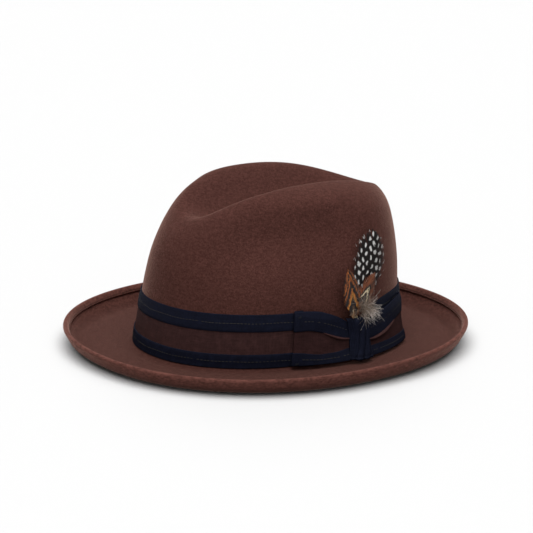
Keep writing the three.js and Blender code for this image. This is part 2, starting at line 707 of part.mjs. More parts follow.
add('pheasant_front_vane', pheasantFront.vane, russetVane);
add('pheasant_front_quill', pheasantFront.shaft, quillHorn);
add('feather_fluff', fluff(), greyDown);
add('feather_binding', featherBinding(), darkThread);
add('sweatband', sweatband(), tanLeather);
add('sweatband_reed', sweatbandReed(), reedPlastic);
add('sweatband_stitching', sweatbandStitching(), brownThread);
add('sweatband_bow', sweatbandBow(), liningSatin);
add('size_tab', sizeTab(), whiteTape);
add('lining_side', liningSide(), liningSatin);
add('lining_tip', liningTip(), liningSatin);
add('lining_shield', liningShield(), clearVinyl);

export default hat;
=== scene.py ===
"""A brown felt fedora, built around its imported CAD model.

The CAD nodes give the bodies, sizes and places. Nearly every piece of a hat is soft or thin, so
each node is replaced here by a finer piece of the same size, made from the hat's own formulas.
Lengths in the formulas are millimetres, and each mesh is written in metres.
"""

import math

import bpy
import numpy as np
from mathutils import Matrix, Vector


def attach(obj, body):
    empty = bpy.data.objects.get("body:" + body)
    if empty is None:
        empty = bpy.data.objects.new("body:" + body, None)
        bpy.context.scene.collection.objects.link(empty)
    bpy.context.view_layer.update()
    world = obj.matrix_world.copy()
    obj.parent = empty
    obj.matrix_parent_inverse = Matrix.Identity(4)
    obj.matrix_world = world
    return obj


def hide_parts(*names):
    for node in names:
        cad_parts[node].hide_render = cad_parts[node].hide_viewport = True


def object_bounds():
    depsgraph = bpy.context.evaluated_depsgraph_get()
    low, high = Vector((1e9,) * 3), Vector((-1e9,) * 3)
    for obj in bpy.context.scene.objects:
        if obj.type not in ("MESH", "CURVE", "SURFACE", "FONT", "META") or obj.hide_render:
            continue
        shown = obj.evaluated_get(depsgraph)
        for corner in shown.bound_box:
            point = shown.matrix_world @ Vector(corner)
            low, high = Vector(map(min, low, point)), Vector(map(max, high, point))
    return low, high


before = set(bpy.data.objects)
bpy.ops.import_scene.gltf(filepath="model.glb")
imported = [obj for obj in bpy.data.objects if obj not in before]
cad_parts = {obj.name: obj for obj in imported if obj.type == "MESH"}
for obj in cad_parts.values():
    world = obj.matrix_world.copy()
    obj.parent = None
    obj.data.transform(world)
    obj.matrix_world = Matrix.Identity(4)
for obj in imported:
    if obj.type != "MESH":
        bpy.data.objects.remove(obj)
cad_low, cad_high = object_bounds()

MM = 0.001
HALF_TURN = math.pi
FULL_TURN = 2 * math.pi

# ---- the hat's driving dimensions, in millimetres ----
GAP = 0.3
HEAD = (207.4, 174.2, 2.09)  # head oval: length, width, squareness
BRIM = (306.0, 289.6, 2.13)
CROWN_BASE = 4.0
CROWN_HEIGHT = 126.0
CROWN_FULLNESS = 0.29
CROWN_ROUND = 0.69
CROWN_TAPER = 0.108
CROWN_LEAN = 10.2
# The dent in the top. front and back say how much it narrows towards each end.
DENT = dict(
    depth=33.0, half_width=44.0, half_length=83.5, middle=0.4, front=13.6, back=2.7,
    squareness=4.2, rounding=0.16, steepness=1.75,
)
NOTCH = dict(depth=9.5, middle=-78.0, length=25.5, width=38.8, foot=60.0, rise=40.0)
# The two finger pinches, the drawn-in waist and the hollows under the ridges. Angles are degrees
# from the hat's front, and heights are above the brim break.
PINCH = dict(depth=9.2, angle=42.7, spread=16.5, height=90.8, tallness=26.2)
WAIST = dict(depth=2.0, height=88.0, tallness=16.0)
HOLLOW_ANGLE = 76.0
HOLLOW_SPREAD = 30.0
HOLLOWS = (  # depth, height, and how far each fades below and above
    (4.6, 88.0, 26.0, 16.0),
    (4.4, 101.0, 30.0, 9.0),
)
FELT = 1.9
WELT = 3.5
WELT_DEPTH = 6.2
WELT_SEAM = 1.4  # from the folded edge's raw edge to its stitches
ROLL_RADIUS = 14.0
ROLL_ANGLE = math.radians(61)
RIM_HEIGHT = 13.2
RIM_TURN = 0.63  # how far round from the left side the rim is lowest, towards the front
CINCH = dict(depth=13.0, middle=6.0, front=15.0, back=26.0)  # how far the bow pulls the band down
BAND_BOTTOM = 4.1
LOWER_NAVY_TOP = 14.1
UPPER_NAVY_BOTTOM = 30.2
BAND_TOP = 42.4
RIBBON = 0.5
RIBBON_STITCH = (2.6, 2.1, 0.28)  # pitch, length and thickness of the gold stitches
BOW_CENTRE = 14.0
BOW_BOTTOM = 2.8
BOW_PUFF = 5.5
KNOT_WIDTH = 21.0
KNOT_TOP = 33.0
WRAP_FOOT = 4.9
WRAP_HEAD = 34.6
WING_INNER = 2.8
WING_OUTER = 4.3
WING_WRAP = 1.16  # a wing's length with its turned end, as a share of what shows
FRONT_WING = 51.7
BACK_WING = 62.0
SPRAY_FOOT = 10.0
QUILL_FOOT = 19.0
VANE_START = 38.0
SWEATBAND_INSET = 4.3
SWEATBAND_THICK = 1.0
LINING_THICK = 0.5


# ---- the crown and brim as formulas, on numpy arrays ----
def all_round(count):
    """Evenly spaced angles for a full turn."""
    return np.linspace(0, FULL_TURN, count, endpoint=False)


def signed_power(value, power):
    return np.sign(value) * np.abs(value) ** power


def bell(value, centre, spread):
    return np.exp(-(((value - centre) / spread) ** 2))


def skewed_bell(value, centre, below, above):
    """A bell with one spread below its centre and another above it."""
    return np.where(value < centre, bell(value, centre, below), bell(value, centre, above))


def smooth(value):
    t = np.clip(value, 0, 1)
    return t * t * (3 - 2 * t)


def oval(angle, size):
    length, width, squareness = size
    x = width / 2 * signed_power(np.cos(angle), 2 / squareness)
    y = length / 2 * signed_power(np.sin(angle), 2 / squareness)
    return x, y


def soft_floor(value, softness):
    """The value where it is above nought and nought below, with a rounded turn between."""
    return 0.5 * (value + np.sqrt(value**2 + softness**2))


def dent_depth(x, y, height):
    """How far the top sinks: the teardrop dent, and the notch where it runs out at the front."""
    along = (y - DENT["middle"]) / DENT["half_length"]
    front = DENT["front"] * np.clip(-along, 0, 1.2) ** 2
    back = DENT["back"] * np.clip(along, 0, 1.2) ** 2
    edge = (x / (DENT["half_width"] - front - back)) ** 2 + np.abs(along) ** DENT["squareness"]
    dent = DENT["depth"] * soft_floor(1 - edge, DENT["rounding"]) ** DENT["steepness"]
    notch = NOTCH["depth"] * bell(y, NOTCH["middle"], NOTCH["length"]) * bell(x, 0, NOTCH["width"])
    return dent + notch * np.clip((height - NOTCH["foot"]) / NOTCH["rise"], 0, 1)


def drawn_in(from_front, height):
    """How far the wall is pushed in by the pinches, the waist and the hollows."""
    pinch = PINCH["depth"] * bell(from_front, PINCH["angle"], PINCH["spread"])
    waist = WAIST["depth"] * bell(height, WAIST["height"], WAIST["tallness"])
    total = pinch * bell(height, PINCH["height"], PINCH["tallness"])
    total = total + waist * np.sin(np.radians(from_front))
    for depth, middle, below, above in HOLLOWS:
        hollow = depth * skewed_bell(height, middle, below, above)
        total = total + hollow * bell(from_front, HOLLOW_ANGLE, HOLLOW_SPREAD)
    return total


def crown(angle, rise):
    """The crown's outer face. Rise runs from 0 at the brim break to a quarter turn at the middle."""
    up = np.sin(rise) ** CROWN_FULLNESS
    reach = np.clip(np.cos(rise), 0, 1) ** CROWN_ROUND * (1 - CROWN_TAPER * up)
    oval_x, oval_y = oval(angle, HEAD)
    height = CROWN_HEIGHT * up
    from_front = np.abs(np.degrees(np.arctan2(oval_x, -oval_y)))
    radius = np.hypot(oval_x, oval_y) * reach
    share = drawn_in(from_front, height) / np.maximum(radius, 1e-6)
    keep = 1 - share * np.clip(radius / 40, 0, 1)
    x, y = oval_x * reach * keep, oval_y * reach * keep
    z = CROWN_BASE + height - dent_depth(x, y, height)
    return np.stack([x, y + CROWN_LEAN * up**0.77, z], -1)


def unit(vectors):
    return vectors / np.maximum(np.linalg.norm(vectors, axis=-1, keepdims=True), 1e-12)


def crown_offset(angle, rise, offset):
    """The crown's face moved along its normal, outwards for a positive offset."""
    step = 0.002
    angle, rise = np.broadcast_arrays(np.asarray(angle, float), np.asarray(rise, float))
    across = crown(angle + step, rise) - crown(angle - step, rise)
    top = np.minimum(rise + step, HALF_TURN / 2 - 1e-4)
    up = crown(angle, top) - crown(angle, np.maximum(rise - step, 1e-5))
    return crown(angle, rise) + unit(np.cross(across, up)) * np.asarray(offset)[..., None]


def crown_rows(angle, rises, offset):
    return [crown_offset(angle, rise, offset) for rise in rises]


def rise_at_height(z):
    share = np.clip((np.asarray(z, float) - CROWN_BASE) / CROWN_HEIGHT, 1e-4, 1)
    return np.arcsin(share ** (1 / CROWN_FULLNESS))


def rise_at_reach(share):
    return np.arccos(np.asarray(share, float) ** (1 / CROWN_ROUND))


def wall(angle, z, offset=0.0):
    """A point of the crown's wall at a height, standing off it by a level distance."""
    step = 0.002
    angle, z, offset = np.broadcast_arrays(
        np.asarray(angle, float), np.asarray(z, float), np.asarray(offset, float)
    )
    rise = rise_at_height(z)
    along = crown(angle + step, rise) - crown(angle - step, rise)
    out = unit(np.stack([along[..., 1], -along[..., 0], np.zeros_like(z)], -1))
    point = crown(angle, rise) + out * offset[..., None]
    point[..., 2] = z
    return point


def cinched(angle, z):
    """Heights on the band: those above the lower stripe sink where the bow gathers the ribbon."""
    x, y = oval(angle, HEAD)
    cinch = CINCH["depth"] * skewed_bell(y, CINCH["middle"], CINCH["front"], CINCH["back"]) * (x > 0)
    return z - cinch * np.clip((z - LOWER_NAVY_TOP) / (BAND_TOP - LOWER_NAVY_TOP), 0, 1)


def arc_table():
    """Angles and the arc length that each reaches round the band, from the wearer's left."""
    angles = np.radians(np.linspace(-180, 180, 2881))
    points = wall(angles, 20.0)
    steps = np.linalg.norm(np.diff(points, axis=0), axis=1)
    arcs = np.concatenate([[0], np.cumsum(steps)])
    return angles, arcs - np.interp(0, angles, arcs)


ARC_ANGLES, ARC_LENGTHS = arc_table()
BAND_LENGTH = float(ARC_LENGTHS[-1] - ARC_LENGTHS[0])


def beside(arc, z, offset=0.0):
    """A point beside the wall, by its arc round the hat from the wearer's left, back positive."""
    return wall(np.interp(arc, ARC_LENGTHS, ARC_ANGLES), z, offset)


# ---- mesh helpers ----
def add_object(name, data):
    made = bpy.data.objects.new(name, data)
    bpy.context.scene.collection.objects.link(made)
    return made


def make_object(name, mesh, slot, finish=None, body="hat", replaces=(), wrap=0):
    """A piece from a mesh: its points in millimetres and its faces. Its material is its slot's,
    unless finish is given. A third part of the mesh gives each point's cloth coordinates in metres,
    and wrap is the length after which the first of them starts again, for a ring."""
    points, faces, *cloth = mesh
    data = bpy.data.meshes.new(name)
    data.from_pydata((np.asarray(points, float) * MM).tolist(), [], [list(map(int, f)) for f in faces])
    data.validate()
    for uv in cloth:
        layer = data.uv_layers.new(name="cloth")
        index = np.zeros(len(data.loops), int)
        data.loops.foreach_get("vertex_index", index)
        corner = np.asarray(uv, float)[index]
        if wrap:
            quads = corner.reshape(-1, 4, 2)
            over_seam = np.ptp(quads[:, :, 0], axis=1) > wrap / 2
            quads[over_seam, :, 0] += wrap * (quads[over_seam, :, 0] < wrap / 2)
        layer.data.foreach_set("uv", corner.astype(np.float32).ravel())
    data.polygons.foreach_set("use_smooth", [True] * len(data.polygons))
    data.update()
    obj = add_object(name, data)
    face_outward(data)
    data.materials.append(finish or FINISHES[slot])
    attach(obj, body)
    if replaces:
        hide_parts(*replaces)
    return obj


def face_outward(mesh):
    """Turns a closed mesh inside out if its faces point in."""
    mesh.calc_loop_triangles()
    index = np.zeros(len(mesh.loop_triangles) * 3, int)
    mesh.loop_triangles.foreach_get("vertices", index)
    co = np.zeros(len(mesh.vertices) * 3)
    mesh.vertices.foreach_get("co", co)
    a, b, c = co.reshape(-1, 3)[index.reshape(-1, 3)].transpose(1, 0, 2)
    if np.einsum("ij,ij->", a, np.cross(b, c)) < 0:
        mesh.flip_normals()


def grid_faces(rows, columns, wrap_rows=False, wrap_columns=False, start=0):
    r = np.arange(rows if wrap_rows else rows - 1)
    c = np.arange(columns if wrap_columns else columns - 1)
    r, c = np.meshgrid(r, c, indexing="ij")
    r2, c2 = (r + 1) % rows, (c + 1) % columns
    quads = np.stack([r * columns + c, r * columns + c2, r2 * columns + c2, r2 * columns + c], -1)
    return (quads.reshape(-1, 4) + start).tolist()


def bowl_mesh(rows, first, last):
    """Rows of points round the hat, closed at both ends by a middle point."""
    rows = np.asarray(rows)
    count, around = rows.shape[:2]
    points = np.concatenate([[first], rows.reshape(-1, 3), [last]])
    faces = grid_faces(count, around, wrap_columns=True, start=1)
    end = count * around + 1
    for i in range(around):
        j = (i + 1) % around
        faces.append([0, 1 + j, 1 + i])
        faces.append([end, end - around + i, end - around + j])
    return points, faces


def slab(name, place, across, up, lifts, size, **options):
    """A thin sheet with both faces and its rim: place(u, v, lift) is a point in millimetres.
    size is the sheet's length and width in millimetres, for its cloth coordinates."""
    v = np.linspace(0, 1, up + 1)
    low, high = lifts
    # each row of the section: front face up, then back face down
    v_all = np.concatenate([v, v[::-1]])
    lift_all = np.concatenate([np.full(len(v), high), np.full(len(v), low)])
    uu, vv = np.meshgrid(np.linspace(0, 1, across + 1), v_all, indexing="ij")
    points = place(uu, vv, np.broadcast_to(lift_all, uu.shape))
    count = len(v_all)
    faces = grid_faces(across + 1, count, wrap_columns=True)
    last = across * count
    for j in range(up):
        far = count - 1 - j
        faces.append([j, j + 1, far - 1, far])
        faces.append([last + j + 1, last + j, last + far, last + far - 1])
    uv = np.stack([uu * size[0] * MM, vv * size[1] * MM], -1).reshape(-1, 2)
    return make_object(name, (points.reshape(-1, 3), faces, uv), **options)


def ring(name, section, around, wobble=0.0, gathered=False, **options):
    """A closed ring round the hat. section is a loop of (height, offset) pairs, and a gathered
    ring sinks behind the bow."""
    angles = all_round(around)
    section = np.asarray(section, float)
    aa, zz = np.meshgrid(angles, section[:, 0], indexing="ij")
    offsets = np.broadcast_to(section[:, 1], aa.shape)
    offsets = offsets + wobble * (1.5 + np.sin(9 * aa + 0.6) + 0.5 * np.sin(23 * aa + zz * 0.12))
    points = wall(aa, cinched(aa, zz) if gathered else zz, offsets)
    faces = grid_faces(around, len(section), wrap_rows=True, wrap_columns=True)
    arcs = aa / FULL_TURN * BAND_LENGTH
    uv = np.stack([arcs * MM, zz * MM], -1).reshape(-1, 2)
    mesh = (points.reshape(-1, 3), faces, uv)
    return make_object(name, mesh, wrap=BAND_LENGTH * MM, **options)


def tube_mesh(path, radii, sides=6):
    """Points and faces of a round tube with closed ends along a path."""
    path = np.asarray(path, float)
    radii = np.broadcast_to(radii, len(path))
    tangent = unit(np.gradient(path, axis=0))
    side = unit(np.cross(tangent, [0.31, 0.17, 0.93]))
    other = np.cross(tangent, side)
    turn = all_round(sides)
    ringed = side[:, None] * np.cos(turn)[:, None] + other[:, None] * np.sin(turn)[:, None]
    points = (path[:, None] + ringed * radii[:, None, None]).reshape(-1, 3)
    faces = grid_faces(len(path), sides, wrap_columns=True)
    end = (len(path) - 1) * sides
    faces.append(list(range(sides)))
    faces.append(list(range(end + sides - 1, end - 1, -1)))
    return points, faces


def gather(parts):
    """Joins (points, faces) parts into one, each with faces counted from nought."""
    points, faces, start = [], [], 0
    for part_points, part_faces in parts:
        points.append(part_points)
        faces += [[start + i for i in face] for face in part_faces]
        start += len(part_points)
    return np.concatenate(points), faces


def stitches(name, route, length, pitch, stitch, thickness, keep=1.0, seed=1, **options):
    """A row of separate stitches. route(s, sag) is a point at arc s, raised off the cloth by sag,
    both in millimetres, and keep is the share of stitches that show."""
    rng = np.random.default_rng(seed)
    sag = np.array([-0.9, 0.1, 0.5, 0.5, 0.1, -0.9]) * thickness / 2
    radii = np.array([0.7, 1, 1, 1, 1, 0.7]) * thickness / 2
    parts = []
    for i in range(int(length // pitch)):
        if rng.random() > keep:
            continue
        s = i * pitch + np.linspace(0, stitch, 6) + rng.normal(0, 0.08)
        parts.append(tube_mesh(route(s, sag), radii))
    return make_object(name, gather(parts), **options)


def strips_mesh(edges):
    """Joins thin strips, each the two long edges of one barb, with their cloth coordinates."""
    points, faces, uvs = [], [], []
    first = 0
    for left, right, uv in edges:
        points.append(np.stack([left, right], 1).reshape(-1, 3))
        uvs.append(np.repeat(uv, 2, axis=0) * MM)
        for i in range(first, first + 2 * len(left) - 2, 2):
            faces.append([i, i + 1, i + 3, i + 2])
        first += 2 * len(left)
    return np.concatenate(points), faces, np.concatenate(uvs)


# ---- materials ----
class Shader:
    """A short way to write a node material. Lengths in materials are metres."""

    def __init__(self, name, roughness=0.8, sheen=0.0, sheen_roughness=0.5, specular=0.5):
        self.material = bpy.data.materials.new(name)
        self.material.use_nodes = True
        self.tree = self.material.node_tree
        self.surface = self.tree.nodes["Principled BSDF"]
        self.surface.inputs["Roughness"].default_value = roughness
        self.surface.inputs["Sheen Weight"].default_value = sheen
        self.surface.inputs["Sheen Roughness"].default_value = sheen_roughness
        self.surface.inputs["Specular IOR Level"].default_value = specular

    def node(self, kind, inputs=None, **settings):
        made = self.tree.nodes.new("ShaderNode" + kind)
        for key, value in settings.items():
            setattr(made, key, value)
        for key, value in (inputs or {}).items():
            self.feed(made.inputs[key], value)
        return made

    def feed(self, socket, value):
        """Links a node's output to a socket, or sets the socket to a number or a colour."""
        if isinstance(value, bpy.types.NodeSocket):
            self.tree.links.new(value, socket)
        elif socket.type == "RGBA":
            socket.default_value = (*value, 1)
        else:
            socket.default_value = value

    def place(self):
        return self.node("TexCoord").outputs["Object"]

    def cloth(self):
        return self.node("UVMap", uv_map="cloth").outputs["UV"]

    def split(self, vector):
        return self.node("SeparateXYZ", {"Vector": vector}).outputs

    def math(self, operation, a, b=0.0):
        return self.node("Math", {0: a, 1: b}, operation=operation).outputs[0]

    def times(self, a, b):
        return self.math("MULTIPLY", a, b)

    def add(self, a, b):
        return self.math("ADD", a, b)

    def off(self, value, middle, scale=1.0):
        """How far a value is from a middle one, scaled."""
        return self.times(self.math("SUBTRACT", value, middle), scale)

    def noise(self, vector, scale, detail=3.0, roughness=0.5, distortion=0.0):
        settings = {"Scale": scale, "Detail": detail, "Roughness": roughness, "Distortion": distortion}
        return self.node("TexNoise", {"Vector": vector, **settings}).outputs["Fac"]

    def stretch(self, vector, scale):
        return self.node("Mapping", {"Vector": vector, "Scale": scale}).outputs["Vector"]

    def ramp(self, value, stops):
        made = self.node("ValToRGB", {"Fac": value})
        elements = made.color_ramp.elements
        while len(elements) < len(stops):
            elements.new(0.5)
        for element, (position, colour) in zip(elements, stops):
            element.position = position
            element.color = (*colour, 1)
        return made.outputs["Color"]

    def mix(self, share, first, second):
        return self.node("Mix", {0: share, 6: first, 7: second}, data_type="RGBA").outputs[2]

    def range(self, value, low, high, to_low=0.0, to_high=1.0):
        ends = {"From Min": low, "From Max": high, "To Min": to_low, "To Max": to_high}
        return self.node("MapRange", {"Value": value, **ends}).outputs["Result"]

    def colour(self, value):
        self.feed(self.surface.inputs["Base Color"], value)

    def rough(self, value):
        self.feed(self.surface.inputs["Roughness"], value)

    def bump(self, height, distance, strength=1.0):
        made = self.node("Bump", {"Height": height, "Distance": distance, "Strength": strength})
        self.feed(self.surface.inputs["Normal"], made.outputs["Normal"])


def felt_material():
    """Brushed fur felt: fine nap and a soft pile sheen, with painted shade darkening the brim's flat
    and a painted highlight lightening its folded edge."""
    s = Shader("brown_felt", roughness=0.95, sheen=0.36, sheen_roughness=0.28, specular=0.03)
    s.surface.inputs["Sheen Tint"].default_value = (0.92, 0.56, 0.46, 1)
    place = s.place()
    nap = s.noise(place, 900, 4, 0.65)
    fibre = s.noise(s.stretch(place, (1, 1, 0.35)), 2200, 2, 0.5, 0.6)
    blotch = s.noise(place, 90, 3, 0.6)
    matted = s.noise(s.stretch(place, (1, 1, 1.8)), 340, 3, 0.65)
    broad = s.noise(place, 16, 2, 0.5)
    dark = s.mix(s.range(blotch, 0.3, 0.7), (0.027, 0.0103, 0.0079), (0.042, 0.0163, 0.0128))
    napped = s.mix(s.range(nap, 0.36, 0.66), dark, (0.080, 0.0313, 0.025))
    light = s.mix(s.range(fibre, 0.35, 0.7, 0, 0.6), napped, (0.090, 0.0365, 0.030))
    shaded = s.mix(s.range(broad, 0.35, 0.7, 0, 0.3), light, (0.056, 0.0213, 0.0167))
    dull = s.mix(s.range(matted, 0.4, 0.62, 0, 0.5), shaded, (0.031, 0.0113, 0.0088))
    height = s.split(place)["Z"]
    # painted shade: the felt low down, on the brim's flat, is darkened towards black
    painted_shade_on_flat = s.mix(s.range(height, 0.003, 0.006, 0.2, 0), dull, (0, 0, 0))
    # painted highlight: the brim's folded edge is lightened, mottled by the matted felt
    edge = s.times(s.range(height, 0.004, 0.009), s.range(height, 0.016, 0.022, 1, 0))
    rim_painted_highlight = s.times(edge, s.range(matted, 0.36, 0.64, 0.66, 0.1))
    s.colour(s.mix(rim_painted_highlight, painted_shade_on_flat, (0.135, 0.052, 0.041)))
    pile = s.add(s.times(nap, 0.6), s.times(fibre, 0.5))
    s.bump(s.add(pile, s.times(matted, 0.5)), 0.0004, 0.9)
    return s.material


def ribbon_material(name, dark, light):
    """Grosgrain: fine ribs across the ribbon, a faint lustre with streaks of painted lustre in its
    colour, and slight fading on the rib tops.
    """
    rib_pitch, weave_pitch = 0.00078, 0.0009
    s = Shader(name, roughness=0.75, specular=0.05)
    cloth, place = s.cloth(), s.place()
    along_across = s.split(cloth)
    rib = s.math("SINE", s.times(along_across["X"], FULL_TURN / rib_pitch))
    weave = s.math("SINE", s.times(along_across["Y"], FULL_TURN / weave_pitch))
    wear = s.noise(place, 220, 3, 0.6)
    fuzz = s.noise(place, 1800, 2, 0.6)
    # painted lustre: long streaks across the ribbon lighten and darken its colour
    streak = s.noise(s.stretch(cloth, (1, 0.06, 1)), 900, 3, 0.7)
    thread = s.noise(s.stretch(cloth, (0.05, 1, 1)), 1400, 3, 0.7)
    tone = s.times(s.range(rib, -1, 1), 0.25)
    for grain, weight in ((streak, 0.22), (thread, 0.28), (fuzz, 0.25)):
        tone = s.add(tone, s.times(s.range(grain, 0.3, 0.7), weight))
    faded = tuple(c * 1.35 for c in light)
    s.colour(s.mix(s.range(wear, 0.45, 0.75, 0, 0.35), s.mix(tone, dark, light), faded))
    s.rough(s.range(wear, 0.3, 0.7, 0.62, 0.8))
    s.bump(s.add(rib, s.times(weave, 0.25)), 0.00012, 0.7)
    return s.material


def plain_material(name, dark, light, roughness, scale=400.0, detail=3, strength=0.3, **surface):
    """A slightly mottled surface."""
    s = Shader(name, roughness=roughness, **surface)
    tone = s.noise(s.place(), scale, detail, 0.6)
    s.colour(s.mix(s.range(tone, 0.3, 0.7), dark, light))
    s.bump(tone, 0.0001, strength)
    return s.material


def thread_material(name, colour):
    """Twisted thread, with painted shade making it darker between its strands."""
    # painted shade: the dark tone goes where the bump sinks, between the strands
    dark = tuple(c * 0.6 for c in colour)
    return plain_material(name, dark, colour, 0.8, 2500, 2, 0.6, sheen=0.05, specular=0.08)


def leather_material():
    """Smooth brown leather with a fine grain of cells."""
    s = Shader("brown_leather", roughness=0.5, specular=0.4)
    place = s.place()
    grain = s.node("TexVoronoi", {"Vector": place, "Scale": 900.0}, feature="DISTANCE_TO_EDGE")
    tone = s.noise(place, 60, 4, 0.6)
    s.colour(s.ramp(tone, [(0.3, (0.050, 0.022, 0.011)), (0.7, (0.092, 0.043, 0.022))]))
    s.rough(s.range(tone, 0.3, 0.7, 0.42, 0.62))
    s.bump(s.range(grain.outputs["Distance"], 0, 0.12), 0.00015, 0.5)
    return s.material


def satin_material():
    """Dark lining satin: fine upright threads and soft creases, with painted shade in the creases' hollows.
    """
    s = Shader("lining_satin", roughness=0.32, sheen=0.4, sheen_roughness=0.3, specular=0.6)
    s.surface.inputs["Anisotropic"].default_value = 0.5
    place = s.place()
    weave = s.noise(s.stretch(place, (1, 1, 0.15)), 1600, 2, 0.5)
    crease = s.noise(place, 26, 3, 0.55, 0.8)
    # painted shade: the colour follows the creases' height, darker in their hollows
    s.colour(s.ramp(crease, [(0.3, (0.020, 0.015, 0.020)), (0.7, (0.045, 0.034, 0.044))]))
    s.bump(s.add(s.times(weave, 0.12), crease), 0.0012, 0.6)
    return s.material


def vinyl_material():
    s = Shader("clear_vinyl", roughness=0.12, specular=0.5)
    s.surface.inputs["Alpha"].default_value = 0.25
    s.colour(s.ramp(s.noise(s.place(), 40), [(0.3, (0.78, 0.80, 0.82)), (0.7, (0.9, 0.92, 0.93))]))
    return s.material


def guinea_material():
    """Black barbs with staggered rows of long white dots. X runs across the feather, Y along it."""
    row_pitch, column_pitch = 0.0056, 0.0049
    dot_length, dot_width = 0.00175, 0.001
    s = Shader("guinea_feather", roughness=0.6, specular=0.15)
    cloth = s.split(s.cloth())
    across, along = cloth["X"], cloth["Y"]
    drift = s.noise(s.place(), 260, 2, 0.5)
    sloped = s.math("SUBTRACT", along, s.times(s.math("ABSOLUTE", across), 0.25))
    row = s.times(sloped, 1 / row_pitch)
    stagger = s.times(s.math("MODULO", s.math("FLOOR", row), 2.0), 0.5)
    column = s.add(s.times(across, 1 / column_pitch), s.add(stagger, 40.25))
    column = s.add(column, s.off(drift, 0.5))
    du = s.off(s.math("FRACT", column), 0.5, column_pitch / dot_width)
    dv = s.off(s.math("FRACT", row), 0.5, row_pitch / dot_length)
    distance = s.math("SQRT", s.add(s.times(du, du), s.times(dv, dv)))
    dot = s.range(s.add(distance, s.times(drift, 0.5)), 1.1, 1.35, 1, 0)
    dot = s.times(dot, s.range(along, 0.011, 0.013))
    fleck = s.noise(s.place(), 900, 2, 0.6)
    black = s.mix(s.range(fleck, 0.3, 0.7), (0.002, 0.0016, 0.0016), (0.010, 0.0065, 0.006))
    s.colour(s.mix(dot, black, (0.46, 0.45, 0.44)))
    return s.material


def pheasant_material(name, bands):
    """Barbs in bands of colour that bend down at both sides of the shaft, streaked with black."""
    feather_length, half_width = 0.032, 0.013
    s = Shader(name, roughness=0.5, sheen=0.05, specular=0.3)
    cloth = s.split(s.cloth())
    side = s.math("ABSOLUTE", cloth["X"])
    chevron = s.add(s.times(cloth["Y"], 1 / feather_length), s.times(side, 1 / half_width))
    chevron = s.add(chevron, s.off(s.noise(s.place(), 330, 3, 0.6), 0.5, 0.34))
    pattern = s.ramp(s.times(chevron, 0.6), bands)
    streak = s.noise(s.stretch(s.cloth(), (1, 0.12, 1)), 1500, 3, 0.6)
    s.colour(s.mix(s.range(streak, 0.45, 0.6, 0, 0.9), pattern, (0.012, 0.007, 0.005)))
    return s.material


def down_material():
    """Down that is brown at its root and pale at its tip."""
    strand_length = 0.016
    s = Shader("grey_down", roughness=0.75, sheen=0.1, specular=0.2)
    along = s.range(s.split(s.cloth())["Y"], 0, strand_length)
    stops = [
        (0.0, (0.06, 0.035, 0.022)), (0.22, (0.24, 0.18, 0.135)),
        (0.5, (0.55, 0.48, 0.42)), (1.0, (0.85, 0.82, 0.78)),
    ]
    tone = s.noise(s.place(), 420, 2, 0.6)
    s.colour(s.mix(s.range(tone, 0.4, 0.75, 0, 0.7), s.ramp(along, stops), (0.06, 0.038, 0.026)))
    return s.material


BLACK_BARB = (0.008, 0.005, 0.004)
ORANGE_BARB = (0.40, 0.108, 0.014)
YELLOW_BARB = (0.55, 0.235, 0.036)
RUSSET_BARB = (0.16, 0.042, 0.012)
CREAM_BARB = (0.82, 0.68, 0.45)
BARRED = [
    (0.0, (0.30, 0.17, 0.08)), (0.10, (0.12, 0.06, 0.03)),
    (0.15, BLACK_BARB), (0.25, BLACK_BARB), (0.265, YELLOW_BARB), (0.35, ORANGE_BARB),
    (0.365, BLACK_BARB), (0.46, BLACK_BARB), (0.48, RUSSET_BARB), (0.53, ORANGE_BARB),
    (0.55, BLACK_BARB), (0.60, BLACK_BARB), (0.62, ORANGE_BARB), (0.68, RUSSET_BARB),
    (0.70, BLACK_BARB), (0.78, BLACK_BARB), (0.80, RUSSET_BARB), (1.0, RUSSET_BARB),
]
CREAM_LINED = [
    (0.0, (0.25, 0.15, 0.08)), (0.14, RUSSET_BARB), (0.22, BLACK_BARB), (0.35, BLACK_BARB),
    (0.360, CREAM_BARB), (0.395, CREAM_BARB), (0.407, BLACK_BARB), (0.45, BLACK_BARB),
    (0.48, RUSSET_BARB), (1.0, RUSSET_BARB),
]
# The material of each slot. The bow's brown, darkened as painted shade, and the two pheasant feathers have
# their own below.
FINISHES = {
    "brown_felt": felt_material(),
    "brown_ribbon": ribbon_material("brown_ribbon", (0.012, 0.0048, 0.0047), (0.058, 0.0262, 0.0248)),
    "navy_ribbon": ribbon_material("navy_ribbon", (0.0012, 0.0015, 0.0042), (0.0080, 0.0096, 0.0210)),
    "gold_thread": thread_material("gold_thread", (0.05, 0.044, 0.034)),
    "brown_thread": thread_material("brown_thread", (0.05, 0.022, 0.016)),
    "dark_thread": thread_material("dark_thread", (0.008, 0.009, 0.014)),
    "brown_leather": leather_material(),
    "lining_satin": satin_material(),
    "quill_horn": plain_material("quill_horn", (0.42, 0.33, 0.2), (0.66, 0.56, 0.40), 0.4),
    "reed_plastic": plain_material("reed_plastic", (0.62, 0.58, 0.5), (0.74, 0.7, 0.62), 0.4),
    "white_tape": plain_material("white_tape", (0.66, 0.64, 0.58), (0.8, 0.78, 0.72), 0.8, 900.0),
    "clear_vinyl": vinyl_material(),
    "speckled_feather": guinea_material(),
    "grey_down": down_material(),
}
# the same brown ribbon made darker for the bow's wings: painted shade
BOW_SHADED_BROWN = ribbon_material("bow_shaded_brown_ribbon", (0.008, 0.0031, 0.0031), (0.043, 0.0185, 0.0180))
PHEASANT_FRONT = pheasant_material("pheasant_front", BARRED)
PHEASANT_BACK = pheasant_material("pheasant_back", CREAM_LINED)


